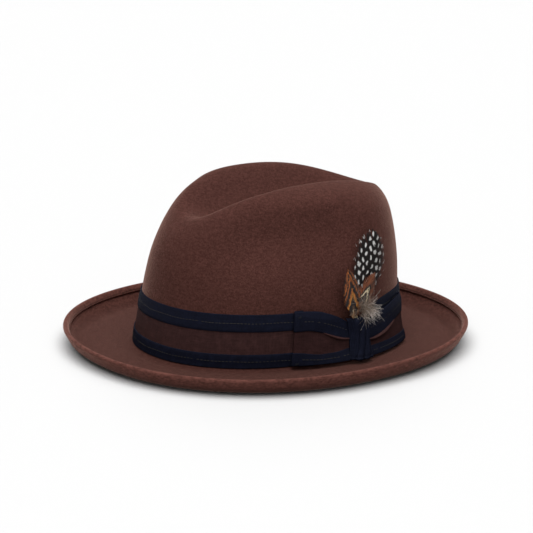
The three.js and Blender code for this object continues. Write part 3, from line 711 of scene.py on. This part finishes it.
# ---- felt body ----
def brim_path(angle):
    """The brim's section at each angle: its head and rim points, its flat and its lip."""
    head_x, head_y = oval(angle, HEAD)
    rim_x, rim_y = oval(angle, BRIM)
    width = np.hypot(rim_x - head_x, rim_y - head_y)
    crest = WELT / 2
    turned = angle + RIM_TURN
    rim = RIM_HEIGHT - 1.45 * np.cos(turned) + 0.7 * np.sin(turned) - 0.9 * np.cos(2 * turned)
    rise = ROLL_RADIUS * (1 - math.cos(ROLL_ANGLE))
    lip = (rim - crest - rise + crest * math.cos(ROLL_ANGLE)) / math.sin(ROLL_ANGLE)
    flat = width - ROLL_RADIUS * math.sin(ROLL_ANGLE) - lip * math.cos(ROLL_ANGLE) - 0.3 * crest
    return dict(head=(head_x, head_y), rim=(rim_x, rim_y), width=width, crest=crest, lip=lip, flat=flat)


def brim_place(path, out, height):
    share = out / path["width"]
    x, y = (head + (rim - head) * share for head, rim in zip(path["head"], path["rim"]))
    return np.stack(np.broadcast_arrays(x, y, height), -1)


def roll_point(path, run, depth):
    """A point of the rolled edge: run is the length along its underside, depth is towards the top."""
    turned = np.minimum(run / ROLL_RADIUS, ROLL_ANGLE)
    beyond = np.maximum(run - ROLL_RADIUS * ROLL_ANGLE, 0)
    out = path["flat"] + (ROLL_RADIUS - depth) * np.sin(turned) + beyond * np.cos(turned)
    height = ROLL_RADIUS - (ROLL_RADIUS - depth) * np.cos(turned) + beyond * np.sin(turned)
    return brim_place(path, out, height)


def welt_run(path):
    return ROLL_RADIUS * ROLL_ANGLE + path["lip"] - WELT_DEPTH + path["crest"]


def brim_rows(angle):
    """Rows from the crown's foot over the brim's top and its folded edge, and back underneath."""
    path = brim_path(angle)
    crest, end, raw_edge = path["crest"], ROLL_RADIUS * ROLL_ANGLE + path["lip"], welt_run(path)
    level = np.zeros_like(angle)
    tuck = 0.35  # how far the felt is drawn down under the fold's raw edge and its stitches
    rows = []
    for share in np.linspace(0, 1, 26)[:-1]:
        out = path["flat"] * share
        fillet = (CROWN_BASE - FELT) * np.clip(1 - out / 8, 0, 1) ** 3
        rows.append(brim_place(path, out, FELT + fillet))
    for share in np.linspace(0, 1, 22):
        run = raw_edge * share + 0.2 * (share - 1)
        rows.append(roll_point(path, np.maximum(run, 0), FELT - tuck * bell(share, 1, 0.05)))
    for step in (0.12, 0.3, 0.5, 0.75, 1.1, 1.35, 1.6, 1.9, 2.4, 3.2, 4.0):
        fold = FELT - tuck + (WELT + 0.1 - FELT + tuck) * smooth(step / 0.6)
        rows.append(roll_point(path, raw_edge + step, fold - tuck * bell(step, WELT_SEAM, 0.3)))
    for turn in np.linspace(0, HALF_TURN, 15):
        lean = crest * (1 + 0.03 * math.cos(turn))
        rows.append(roll_point(path, end + lean * math.sin(turn), crest + lean * math.cos(turn)))
    rows += [roll_point(path, end * share, level) for share in np.linspace(1, 0, 26)[1:]]
    rows += [brim_place(path, path["flat"] * share, level) for share in np.linspace(1, 0.06, 14)[1:]]
    inside = ((0.6, 0.25), (-0.8, 1.6))
    return rows + [brim_place(path, level + out, level + height) for out, height in inside]


def felt_rows(angle):
    """Rows round the hat, from the crown's middle over the brim's edge and back up inside."""
    shoulder = rise_at_reach(0.93)
    shoulder_height = float(CROWN_BASE + CROWN_HEIGHT * np.sin(shoulder) ** CROWN_FULLNESS)
    top = np.concatenate([np.linspace(0.02, 0.5, 30), np.linspace(0.51, 0.93, 60)])
    side = np.linspace(shoulder_height - 1.5, CROWN_BASE + 0.4, 56)
    inner_top = np.concatenate([np.linspace(0.9, 0.5, 22), np.linspace(0.47, 0.03, 14)])
    outside = np.concatenate([rise_at_reach(top), rise_at_height(side)])
    inside = np.concatenate([rise_at_height(np.linspace(8, 104, 22)), rise_at_reach(inner_top)])
    return crown_rows(angle, outside, 0.0) + brim_rows(angle) + crown_rows(angle, inside, -FELT)


def hand_shaping(points):
    """The slight unevenness of felt that was blocked and pinched by hand."""
    x, y, z = points[..., 0], points[..., 1], points[..., 2]
    wave = np.sin(x * 0.061 + y * 0.043) + np.sin(y * 0.087 - z * 0.05 + 1.3)
    wave = wave + np.sin(z * 0.11 + x * 0.05 + 0.7)
    above_band = smooth((z - 45) / 30)
    out = unit(np.stack([x, y - CROWN_LEAN, np.zeros_like(z)], -1))
    return points + out * (0.22 * wave * above_band)[..., None]


def crown_middle():
    return crown(np.array([0.0]), np.array([HALF_TURN / 2 - 1e-3]))[0] * [0, 1, 1]


def felt_hat():
    rows = [hand_shaping(row) for row in felt_rows(all_round(288))]
    felt = bowl_mesh(rows, crown_middle(), crown_middle() - [0, 0, FELT])
    make_object("felt_hat", felt, "brown_felt", replaces=["felt_body"])


def welt_stitches():
    angles = np.linspace(0, FULL_TURN, 1441)

    def seam(angle, height):
        path = brim_path(angle)
        return roll_point(path, welt_run(path) + WELT_SEAM, height)

    arcs = np.concatenate([[0], np.cumsum(np.linalg.norm(np.diff(seam(angles, WELT), axis=0), axis=1))])
    stitches(
        "welt_stitches", lambda s, sag: seam(np.interp(s, arcs, angles), WELT - 0.1 + sag),
        arcs[-1], 3.4, 2.5, 0.42, slot="brown_thread", replaces=["welt_stitching"],
    )


# ---- ribbon band ----
CORE_LIFT = (GAP, GAP + RIBBON)
BINDING_LIFT = (GAP + RIBBON + 0.1, GAP + 2 * RIBBON + 0.25)
BINDINGS = (("lower", LOWER_NAVY_TOP, BAND_BOTTOM), ("upper", UPPER_NAVY_BOTTOM, BAND_TOP))


def binding_section(lap, free):
    """A binding's outline: its lap edge over the core, then down to the felt with a rounded fold."""
    side = math.copysign(1, free - lap)
    low, high = BINDING_LIFT
    edge_high = 2 * RIBBON + 0.05
    points = [(lap, high - 0.2), (lap + side * 0.25, high)]
    for t in (0.15, 0.3, 0.45, 0.6, 0.75, 0.88):
        drop = (high - edge_high) * smooth((t - 0.3) / 0.6)
        points.append((lap + (free - lap) * t, high - drop))
    middle, radius = edge_high / 2, edge_high / 2 - 0.05
    for turn in np.linspace(HALF_TURN / 2, -HALF_TURN / 2, 7):
        points.append((free - side * radius * (1 - math.cos(turn)), middle + radius * math.sin(turn)))
    return points + [(lap + side * 5, 0.1), (lap + side * 3.4, GAP), (lap + side * 3.3, low), (lap, low)]


def core_section():
    low, high = CORE_LIFT
    levels = np.linspace(LOWER_NAVY_TOP - 3, UPPER_NAVY_BOTTOM + 3, 12)
    return [(z, high) for z in levels] + [(z, low) for z in levels[::-1]]


def hatband():
    core = ring(
        "band_core", core_section(), 288, wobble=0.07, gathered=True,
        slot="brown_ribbon", replaces=["hatband_core"],
    )
    for name, lap, free in BINDINGS:
        binding = ring(
            f"band_binding_{name}", binding_section(lap, free), 288, wobble=0.05, gathered=True,
            slot="navy_ribbon", replaces=[f"hatband_binding_{name}"],
        )
        band_stitches(name, (lap + free) / 2)


def band_stitches(name, z):
    def route(s, sag):
        angle = np.interp(ARC_LENGTHS[0] + s, ARC_LENGTHS, ARC_ANGLES)
        height = cinched(angle, z + 0.15 * np.sin(s * 0.21))
        return wall(angle, height, BINDING_LIFT[1] - 0.08 + sag)

    stitches(
        f"band_stitches_{name}", route, BAND_LENGTH, *RIBBON_STITCH, keep=0.93, seed=5,
        slot="gold_thread", replaces=[f"binding_thread_{name}"],
    )


# ---- bow ----
def puff(z, share):
    """How far the bow stands off the band, most at its foot."""
    down = np.clip((KNOT_TOP - z) / (KNOT_TOP - BOW_BOTTOM), 0, 1)
    return BOW_PUFF * share * down**2


class Wing:
    """One wing of the bow: a flat loop of the bound ribbon, gathered under the knot.

    u is 0 at the knot's middle and 1 at the fold; past 1 the ribbon turns back under itself.
    """

    def __init__(self, side, length, edges, end_puff):
        self.side, self.length, self.edges, self.end_puff = side, length, edges, end_puff
        self.fold = (WING_OUTER - WING_INNER) / 2

    def heights(self, u):
        """Bottom edge, lower stripe edge, upper stripe edge and top edge at u."""
        return self.edges(np.clip(u, 0, 1))

    def place(self, u, z, lift):
        """The point at u and height z, lifted off the ribbon's middle by lift."""
        turn_length = HALF_TURN * self.fold / self.length
        turn = np.clip((u - 1) / turn_length, 0, 1) * HALF_TURN
        back = np.maximum(u - 1 - turn_length, 0)
        along = np.minimum(u, 1) - back
        middle = (WING_OUTER + WING_INNER) / 2 - 0.1
        reach = self.fold + lift
        arc = BOW_CENTRE + self.side * (along * self.length + reach * np.sin(turn))
        offset = middle + reach * np.cos(turn)
        offset = offset + puff(z, 1 - (1 - self.end_puff) * np.minimum(along, 1) ** 2)
        top = self.heights(along)[3]
        tuck = smooth(1 - (top - z) / 5) * np.clip(along * 2, 0, 1)
        return beside(arc, z, offset - tuck + self.pleats(along, z, top))

    def pleats(self, u, z, top):
        """Soft gathers that run out from the knot."""
        near = np.clip(1 - u, 0, 1) ** 1.8
        share = (z - BOW_BOTTOM) / (top - BOW_BOTTOM)
        return near * (0.6 * np.sin(share * 13 + u * 2.4) + 0.3 * np.sin(u * 5 + share * 3))


def front_edges(u):
    top = 29.4 + 14.4 * (1 - (1 - np.clip((u - 0.13) / 0.87, 0, 1)) ** 2.3)
    upper = 19.8 + 9.9 * smooth((u - 0.12) / 0.75)
    lower = 12.0 + 2.6 * smooth((u - 0.6) / 0.4) + 1.6 * (1 - smooth((u - 0.08) / 0.35))
    return BOW_BOTTOM + 2.2 + 0.4 * u**3, lower, upper, top


def back_edges(u):
    top = 30.4 + 7.6 * smooth(u)
    upper = 16.0 + 8.5 * smooth((u - 0.15) / 0.85)
    return BOW_BOTTOM + 1.8 - 0.6 * u, 11.2 - 0.6 * u, upper, top


FRONT = Wing(-1, FRONT_WING, front_edges, 0.0)
BACK = Wing(1, BACK_WING, back_edges, 0.8)


def wing_strip(name, wing, low_edge, lifts, grow=0.0, bow_out=0.0, **options):
    """A strip of the wing from one of its edges to the next, widened by grow on both sides."""

    def place(u, v, lift):
        u = u * WING_WRAP
        low, high = wing.heights(u)[low_edge : low_edge + 2]
        rounding = bow_out * np.sin(HALF_TURN * v)
        return wing.place(u, low - grow + (high - low + 2 * grow) * v, lift + rounding)

    low, high = wing.heights(0.6)[low_edge : low_edge + 2]
    return slab(name, place, 84, 14, lifts, (wing.length * WING_WRAP, float(high - low)), **options)


def wing_fold(name, wing, start, end, drop, depth):
    """A crease of brown ribbon that rolls out from under the upper stripe near the knot."""

    def place(u, v, lift):
        share = start + (end - start) * u
        strength = np.sin(HALF_TURN * np.clip(u, 0, 1)) ** 0.6
        z = wing.heights(share)[2] + 0.6 - v * drop * strength
        roll = depth * strength * np.sin(HALF_TURN * v) + 0.35
        return wing.place(share, z, roll + lift)

    slab(name, place, 48, 10, (0.0, 0.4), ((end - start) * wing.length, drop), slot="brown_ribbon")


def wing_stitches(name, wing, low_edge, seed):
    def route(s, sag):
        u = 0.2 + s / wing.length
        low, high = wing.heights(u)[low_edge : low_edge + 2]
        return wing.place(u, (low + high) / 2, 1.0 + sag)

    stitches(name, route, wing.length * 0.72, *RIBBON_STITCH, keep=0.85, seed=seed, slot="gold_thread")


def bow_wings():
    for label, wing in (("front", FRONT), ("back", BACK)):
        # the wing's brown core takes the darker copy of the brown ribbon: painted shade
        core = wing_strip(
            f"bow_{label}_core", wing, 1, (-0.25, 0.2), grow=2,
            slot="brown_ribbon", finish=BOW_SHADED_BROWN, replaces=[f"bow_{label}_wing"],
        )
        wing_strip(f"bow_{label}_lower", wing, 0, (0.3, 0.8), bow_out=0.15, slot="navy_ribbon")
        wing_strip(f"bow_{label}_upper", wing, 2, (0.3, 0.8), bow_out=0.25, slot="navy_ribbon")
        wing_stitches(f"bow_{label}_stitches_upper", wing, 2, 7)
        wing_stitches(f"bow_{label}_stitches_lower", wing, 0, 8)
    wing_fold("bow_front_fold", FRONT, 0.12, 0.6, 2.2, 0.9)
    wing_fold("bow_back_fold", BACK, 0.1, 0.72, 3.0, 1.4)


def bow_knot():
    """The knot: a pleated navy ribbon arched over the quills, tucked in at its head and foot."""
    height = WRAP_HEAD - WRAP_FOOT

    def place(u, v, lift):
        z = WRAP_FOOT + height * v + 0.8 * (2 * u - 1) ** 2 * (0.5 - v)
        waist = 1 - 0.12 * np.sin(HALF_TURN * v)
        arc = BOW_CENTRE + 0.5 * (0.5 - v) + (u - 0.5) * KNOT_WIDTH * waist
        rounded = np.sin(HALF_TURN * u)
        arch = 3.6 * np.minimum(1, 1.6 * rounded)
        fold = u * 3.6 + 0.5 * (1 - v) ** 2 - 0.45 * v
        pleat = 2.3 * np.abs(np.sin(HALF_TURN * fold)) ** 0.55 * np.abs(rounded) ** 0.6
        pleat = pleat + 0.15 * np.sin(u * 41 + 1.5 * v) * rounded
        head = 2.4 * (1 - np.sqrt(1 - smooth((v - 0.9) / 0.1) ** 2 * 0.98))
        foot = 1.1 * (1 - np.sqrt(1 - smooth((0.05 - v) / 0.05) ** 2 * 0.98))
        hem = 0.35 * bell(v, 0.07, 0.025)
        offset = WING_OUTER + GAP + 0.35 + puff(z, 1) + arch + pleat + lift - head - foot - hem
        return beside(arc, z, offset)

    knot = slab(
        "bow_wrap", place, 120, 52, (0.0, 0.8), (KNOT_WIDTH, height),
        slot="navy_ribbon", replaces=["bow_knot"],
    )


def bow_tacks():
    """Two short slanting stitches side by side at each corner of the front wing's end."""
    u = np.linspace(0.985, 0.935, 7)
    sag = np.array([-0.3, 0.2, 0.35, 0.4, 0.35, 0.2, -0.3])
    for name, z in (("upper", BAND_TOP - 3), ("lower", BAND_BOTTOM + 2)):
        routes = [FRONT.place(u, z + np.linspace(0, 0.9, 7) + lean, 1.0 + sag) for lean in (0.0, 0.7)]
        threads = gather([tube_mesh(route, 0.2) for route in routes])
        make_object(f"bow_tack_thread_{name}", threads, "dark_thread", replaces=[f"bow_tack_{name}"])


# ---- feather spray ----
POCKET_MIDDLE = WING_OUTER + GAP + 1.8
QUILL_SPACING = 1.3
QUILL_LEAN = math.radians(2)


def pocket_line():
    """The mouth of the knot's pocket, and the way the quills point out of it."""
    mouth = beside(SPRAY_FOOT, KNOT_TOP, POCKET_MIDDLE)
    foot_arc = SPRAY_FOOT - math.tan(QUILL_LEAN) * (KNOT_TOP - QUILL_FOOT)
    foot = beside(foot_arc, QUILL_FOOT, POCKET_MIDDLE + puff(QUILL_FOOT, 1))
    return mouth, unit(mouth - foot)


POCKET_MOUTH, SLIDE_UP = pocket_line()
POCKET_ACROSS = unit(np.array([0, 1, 0]) - SLIDE_UP * SLIDE_UP[1])


def pocket_point(height, across):
    """A point of the pocket at a height, moved across it."""
    along = (np.asarray(height, float) - KNOT_TOP) / SLIDE_UP[2]
    return POCKET_MOUTH + SLIDE_UP * along[..., None] + POCKET_ACROSS * np.asarray(across)[..., None]


class Feather:
    """A flat feather beside the wall, made of barbs on both sides of a shaft. Angles are degrees."""

    def __init__(
        self, name, slot, finish, seed, quill, shift, lean, length, width, stand_off, profile, barb_lean
    ):
        self.name, self.slot, self.finish, self.seed = name, slot, finish, seed
        self.quill, self.shift, self.stand_off = quill * QUILL_SPACING, shift, stand_off
        self.length, self.width, self.profile = length, width, profile
        self.lean, self.barb_lean = math.radians(lean), math.radians(barb_lean)

    def place(self, along, across, lift):
        arc = SPRAY_FOOT + self.shift + math.sin(self.lean) * along + math.cos(self.lean) * across
        z = VANE_START + math.cos(self.lean) * along - math.sin(self.lean) * across
        return beside(arc, z, self.stand_off + lift)

    def half_width(self, along):
        return self.width / 2 * self.profile(np.clip((along / self.length - 0.08) / 0.92, 0, 1))

    def barb_reach(self, root, lean):
        """How far a barb runs from its root at a slant before it meets the feather's outline."""
        reach = self.half_width(root) / math.sin(lean)
        for _ in range(12):
            reach = (reach + self.half_width(root + reach * math.cos(lean)) / math.sin(lean)) / 2
        return min(reach, (self.length - root) / math.cos(lean) + 0.8)

    def barb(self, rng, side, root, pitch, parting):
        """One barb: a thin strip that leaves the shaft at a slant and curves to the tip. Its cloth
        coordinates are its place before the barbs part, so the pattern parts with them."""
        steps = np.linspace(0, 1, 9)
        lean = self.barb_lean * (1 - 0.3 * max(root, 0) / self.length)
        reach = self.barb_reach(root, lean) * (1 + rng.normal(0, 0.03))
        wisp = rng.random() < 0.14
        reach *= 1 + wisp * rng.uniform(0.05, 0.2)
        along = root + reach * steps * math.cos(lean) + 0.05 * reach * steps * (1 - steps)
        across = side * reach * steps * math.sin(lean)
        bend = (parting + rng.normal(0, 0.012)) * steps**2 * reach * 0.6
        lift = rng.normal(0, 0.05) + 0.45 * np.sin(steps * HALF_TURN * 0.8) - 0.35 * steps**2
        half = 0.72 * pitch * (1 - (0.9 if wisp else 0.7) * smooth((steps - 0.72) / 0.28))
        left, right = (
            self.place(along + bend + edge * half, across - side * bend * 0.4, lift + edge * 0.04)
            for edge in (-1, 1)
        )
        return left, right, np.stack([across, along], -1)

    def barbs(self, start, pitch, node):
        rng = np.random.default_rng(self.seed)
        strips = []
        for side in (-1, 1):
            parting = 0.0
            for root in np.arange(start, self.length * 0.985, pitch):
                if rng.random() < 0.05:
                    parting = rng.normal(0, 0.07)
                strips.append(self.barb(rng, side, root, pitch, parting))
        make_object(
            f"{self.name}_barbs", strips_mesh(strips), self.slot, self.finish,
            body="feather_spray", replaces=[node],
        )

    def shaft(self, node):
        low = pocket_point([QUILL_FOOT, 24, 29, KNOT_TOP], np.full(4, self.quill))
        along = np.array([0.06, 0.12, 0.2, 0.35, 0.5, 0.7, 0.85, 0.97]) * self.length
        high = self.place(along, np.zeros(8), -0.25)
        path = smooth_path(np.concatenate([low, high]), 40)
        radii = np.interp(np.linspace(0, 1, 40), [0, 0.3, 0.45, 1], [0.45, 0.4, 0.18, 0.08])
        shaft = tube_mesh(path, radii, 8)
        make_object(f"{self.name}_shaft", shaft, "quill_horn", body="feather_spray", replaces=[node])


def smooth_path(points, count):
    """A smooth curve through points, as a Catmull-Rom spline with even steps."""
    padded = np.concatenate([[2 * points[0] - points[1]], points, [2 * points[-1] - points[-2]]])
    t = np.linspace(0, len(points) - 1, count)
    i = np.minimum(t.astype(int), len(points) - 2)
    f = (t - i)[:, None]
    a, b, c, d = (padded[i + k] for k in range(4))
    return 0.5 * (2 * b + (c - a) * f + (2 * a - 5 * b + 4 * c - d) * f**2 + (3 * b - a - 3 * c + d) * f**3)


def paddle(share):
    """Half widths of the guinea feather from foot to tip, as a share of its widest."""
    return (0.6 + 0.4 * np.sin(HALF_TURN / 2 * np.clip(share * 1.8, 0, 1))) * (1 - 0.8 * share**12)


def leaf(share):
    """Half widths of a pheasant feather, which is still broad where it leaves the knot."""
    foot = 0.3 * (1 - smooth(share / 0.3))
    return 0.12 + 0.88 * np.maximum(np.sin(HALF_TURN * share**0.8), 0) ** 0.7 + foot


def feathers():
    guinea = Feather(
        "guinea", "speckled_feather", None, seed=11, quill=0, shift=-3, lean=33, length=62, width=28,
        stand_off=5.6, profile=paddle, barb_lean=38,
    )
    guinea.barbs(3, 0.45, "guinea_feather_vane")
    guinea.shaft("guinea_feather_quill")
    pheasant = dict(length=32, width=15.5, profile=leaf, barb_lean=40)
    back = Feather(
        "pheasant_back", "russet_feather", PHEASANT_BACK, seed=12, quill=1, shift=-1, lean=38,
        stand_off=7.8, **pheasant,
    )
    front = Feather(
        "pheasant_front", "russet_feather", PHEASANT_FRONT, seed=13, quill=-1, shift=-5, lean=-4,
        stand_off=10.0, **pheasant,
    )
    for feather in (back, front):
        feather.barbs(-3, 0.4, f"{feather.name}_vane")
        feather.shaft(f"{feather.name}_quill")


def fluff():
    """A tuft of down: fine strands that burst from the foot of the feathers and droop."""
    rng = np.random.default_rng(21)
    steps = np.linspace(0, 1, 8)
    strips = []
    for number in range(330):
        long_barb = number % 3 == 0
        turn = math.radians(rng.normal(-38, 26) if long_barb else rng.uniform(-110, 140))
        length = rng.uniform(9, 16) if long_barb else rng.uniform(3, 8)
        root_arc = BOW_CENTRE + 0.5 + rng.normal(0, 3.0)
        root_z = KNOT_TOP + 8.5 + rng.normal(0, 2.6)
        curl = rng.normal(0, 0.25 if long_barb else 0.9)
        arc = root_arc + length * (steps * math.cos(turn) - curl * steps**2 * math.sin(turn) / 2)
        z = root_z + length * (steps * math.sin(turn) + curl * steps**2 * math.cos(turn) / 2)
        lift = 11.4 + rng.uniform(0, 1.2) + rng.uniform(0.2, 1.6) * np.sin(steps * HALF_TURN * 0.8)
        path = beside(arc, z, lift)
        width = unit(np.cross(unit(np.gradient(path, axis=0)), [1.0, 0.1, 0.05]))
        width = width * ((0.1 if long_barb else 0.08) * (1 - 0.5 * steps))[:, None]
        strips.append((path - width, path + width, np.stack([steps * 0, steps * length], -1)))
    down = strips_mesh(strips)
    make_object("fluff_strands", down, "grey_down", body="feather_spray", replaces=["feather_fluff"])


def quill_wrap():
    """Thread wound round the quills inside the knot."""
    turns, per_turn = 14, 20
    t = np.linspace(0, turns * FULL_TURN, turns * per_turn)
    height = np.interp(t, [0, t[-1]], [23.2, 28.8])
    outward = unit(np.cross(POCKET_ACROSS, SLIDE_UP))
    deep = signed_power(np.sin(t), 0.5) * 0.95
    path = pocket_point(height, signed_power(np.cos(t), 0.5) * 2.25) + outward * deep[:, None]
    thread = tube_mesh(path, 0.19)
    make_object("quill_wrap", thread, "dark_thread", body="feather_spray", replaces=["feather_binding"])


# ---- inside the crown ----
def sweatband():
    """The leather band, the reed at its foot and its zigzag stitching."""
    outer, thick = -SWEATBAND_INSET, SWEATBAND_THICK
    levels = np.linspace(1, 39, 14)
    section = [(z, outer) for z in levels] + [(39.3, outer - thick / 2)]
    section += [(z, outer - thick) for z in levels[::-1]] + [(0.7, outer - thick / 2)]
    ring("sweatband_leather", section, 240, slot="brown_leather", replaces=["sweatband"])
    middle, radius = -(FELT + SWEATBAND_INSET) / 2, 0.55
    reed = [(3.2 + radius * math.sin(t), middle + radius * math.cos(t)) for t in all_round(10)]
    ring("reed", reed, 240, slot="reed_plastic", replaces=["sweatband_reed"])

    def route(s, sag):
        zigzag = 0.9 * np.sin(s * FULL_TURN / 5.2)
        return beside(ARC_LENGTHS[0] + s, 6 + zigzag, outer - thick - 0.25 - sag)

    stitches(
        "sweatband_stitches", route, BAND_LENGTH, 2.6, 2.3, 0.36, seed=9,
        slot="brown_thread", replaces=["sweatband_stitching"],
    )


def sweatband_patch(name, start, end, bottom, top, thickness, pinch, slot, node):
    """A small piece on the sweatband, from one angle to another past the back, in degrees."""
    face = -SWEATBAND_INSET - SWEATBAND_THICK - GAP

    def place(u, v, lift):
        waist = 1 - pinch * np.sin(HALF_TURN * u) ** 4
        z = (bottom + top) / 2 + (v - 0.5) * (top - bottom) * waist
        angle = HALF_TURN / 2 + np.radians(start + (end - start) * u)
        bulge = 0.5 * pinch * np.sin(HALF_TURN * v) * np.abs(np.sin(FULL_TURN * u))
        return wall(angle, z, face - lift - bulge)

    slab(name, place, 32, 8, (0.0, thickness), (20, top - bottom), slot=slot, replaces=[node])


def lining():
    """The gathered side of the lining, its smooth tip, and the clear shield under the tip."""
    angle = all_round(240)
    outer = -(FELT + GAP + 0.2)
    wall_rises = rise_at_height(np.linspace(22, 104, 24))
    rises = np.concatenate([wall_rises, rise_at_reach(np.linspace(0.9, 0.7, 14))])
    fullness = 0.7 * smooth(np.linspace(0.2, 1, len(rises))) * smooth(np.linspace(6, 0, len(rises)))
    pleats = 0.5 + 0.5 * np.sin(angle * 46)

    def face(offset):
        return [crown_offset(angle, rise, offset - full * pleats) for rise, full in zip(rises, fullness)]

    rows = np.array(face(outer) + face(outer - LINING_THICK)[::-1])
    faces = grid_faces(len(rows), len(angle), wrap_rows=True, wrap_columns=True)
    mesh = (rows.reshape(-1, 3), faces)
    side = make_object("lining_wall", mesh, "lining_satin", replaces=["lining_side"])
    tip_outer = outer - 1.2
    shield_outer = tip_outer - LINING_THICK - GAP
    tip = inner_bowl("lining_crown", 0.745, 40, tip_outer, LINING_THICK, "lining_satin", "lining_tip")
    inner_bowl("tip_shield", 0.4, 20, shield_outer, 0.3, "clear_vinyl", "lining_shield")


def inner_bowl(name, reach, count, offset, thick, slot, node):
    """A shallow bowl under the crown's top, as wide as the given share of the head."""
    angle = all_round(240)
    rises = rise_at_reach(np.linspace(reach, 0.04, count))
    rows = crown_rows(angle, rises[::-1], offset) + crown_rows(angle, rises, offset - thick)
    first, last = (crown_middle() + [0, 0, drop] for drop in (offset, offset - thick))
    return make_object(name, bowl_mesh(rows, first, last), slot, replaces=[node])


# ---- scene, in metres ----
CAMERA_TURN, CAMERA_TILT, CAMERA_ROLL = (math.radians(angle) for angle in (53.8, 16.14, 0.33))
CAMERA_DISTANCE = 1.6
CAMERA_AIM = Vector((0, 0, 0.0555))
CAMERA_LENS = 142.4
FLOOR_GREY = 0.51
FLOOR_HALF_SIZE = 12.0
FLOOR_DROP = 0.0004


def camera():
    level = math.cos(CAMERA_TILT)
    back = Vector((math.sin(CAMERA_TURN) * level, -math.cos(CAMERA_TURN) * level, math.sin(CAMERA_TILT)))
    data = bpy.data.cameras.new("camera")
    data.lens = CAMERA_LENS
    data.sensor_width = 36
    eye = add_object("camera", data)
    eye.location = back * CAMERA_DISTANCE
    look = (CAMERA_AIM - eye.location).to_track_quat("-Z", "Y").to_matrix()
    eye.rotation_euler = (look @ Matrix.Rotation(CAMERA_ROLL, 3, "Z")).to_euler()
    bpy.context.scene.camera = eye


def soft_box(name, place, power, spread):
    """A wide soft light so far off that the floor under it is evenly lit."""
    data = bpy.data.lights.new(name, "SUN")
    data.energy = power
    data.angle = math.radians(spread)
    light = add_object(name, data)
    light.location = place
    light.rotation_euler = (-Vector(place)).to_track_quat("-Z", "Y").to_euler()


def studio():
    scene = bpy.context.scene
    world = bpy.data.worlds.new("studio")
    world.use_nodes = True
    world.node_tree.nodes["Background"].inputs["Color"].default_value = (1, 1, 1, 1)
    world.node_tree.nodes["Background"].inputs["Strength"].default_value = 0.18
    scene.world = world
    scene.view_settings.view_transform = "Standard"
    soft_box("overhead", (0.13, -0.09, 1.0), 4.45, 76)
    soft_box("behind", (-0.6, 0.45, 0.8), 1.45, 50)
    soft_box("front_fill", (0.8, -0.6, 0.05), 0.75, 60)
    mesh = bpy.data.meshes.new("floor")
    corners = [(x * FLOOR_HALF_SIZE, y * FLOOR_HALF_SIZE, 0) for x, y in ((-1, -1), (1, -1), (1, 1), (-1, 1))]
    mesh.from_pydata(corners, [], [(0, 1, 2, 3)])
    floor = add_object("floor", mesh)
    floor.location.z = float(cad_low.z) - FLOOR_DROP
    s = Shader("floor", roughness=0.9, specular=0.1)
    s.colour((FLOOR_GREY, FLOOR_GREY, FLOOR_GREY))
    mesh.materials.append(s.material)


camera()
studio()
felt_hat()
welt_stitches()
hatband()
bow_wings()
bow_knot()
bow_tacks()
feathers()
fluff()
quill_wrap()
sweatband()
sweatband_patch("seam_bow", -7, 7, 9, 15, 1.2, 0.55, "lining_satin", "sweatband_bow")
sweatband_patch("blank_size_tab", 9, 19, 14, 26, 0.5, 0, "white_tape", "size_tab")
lining()
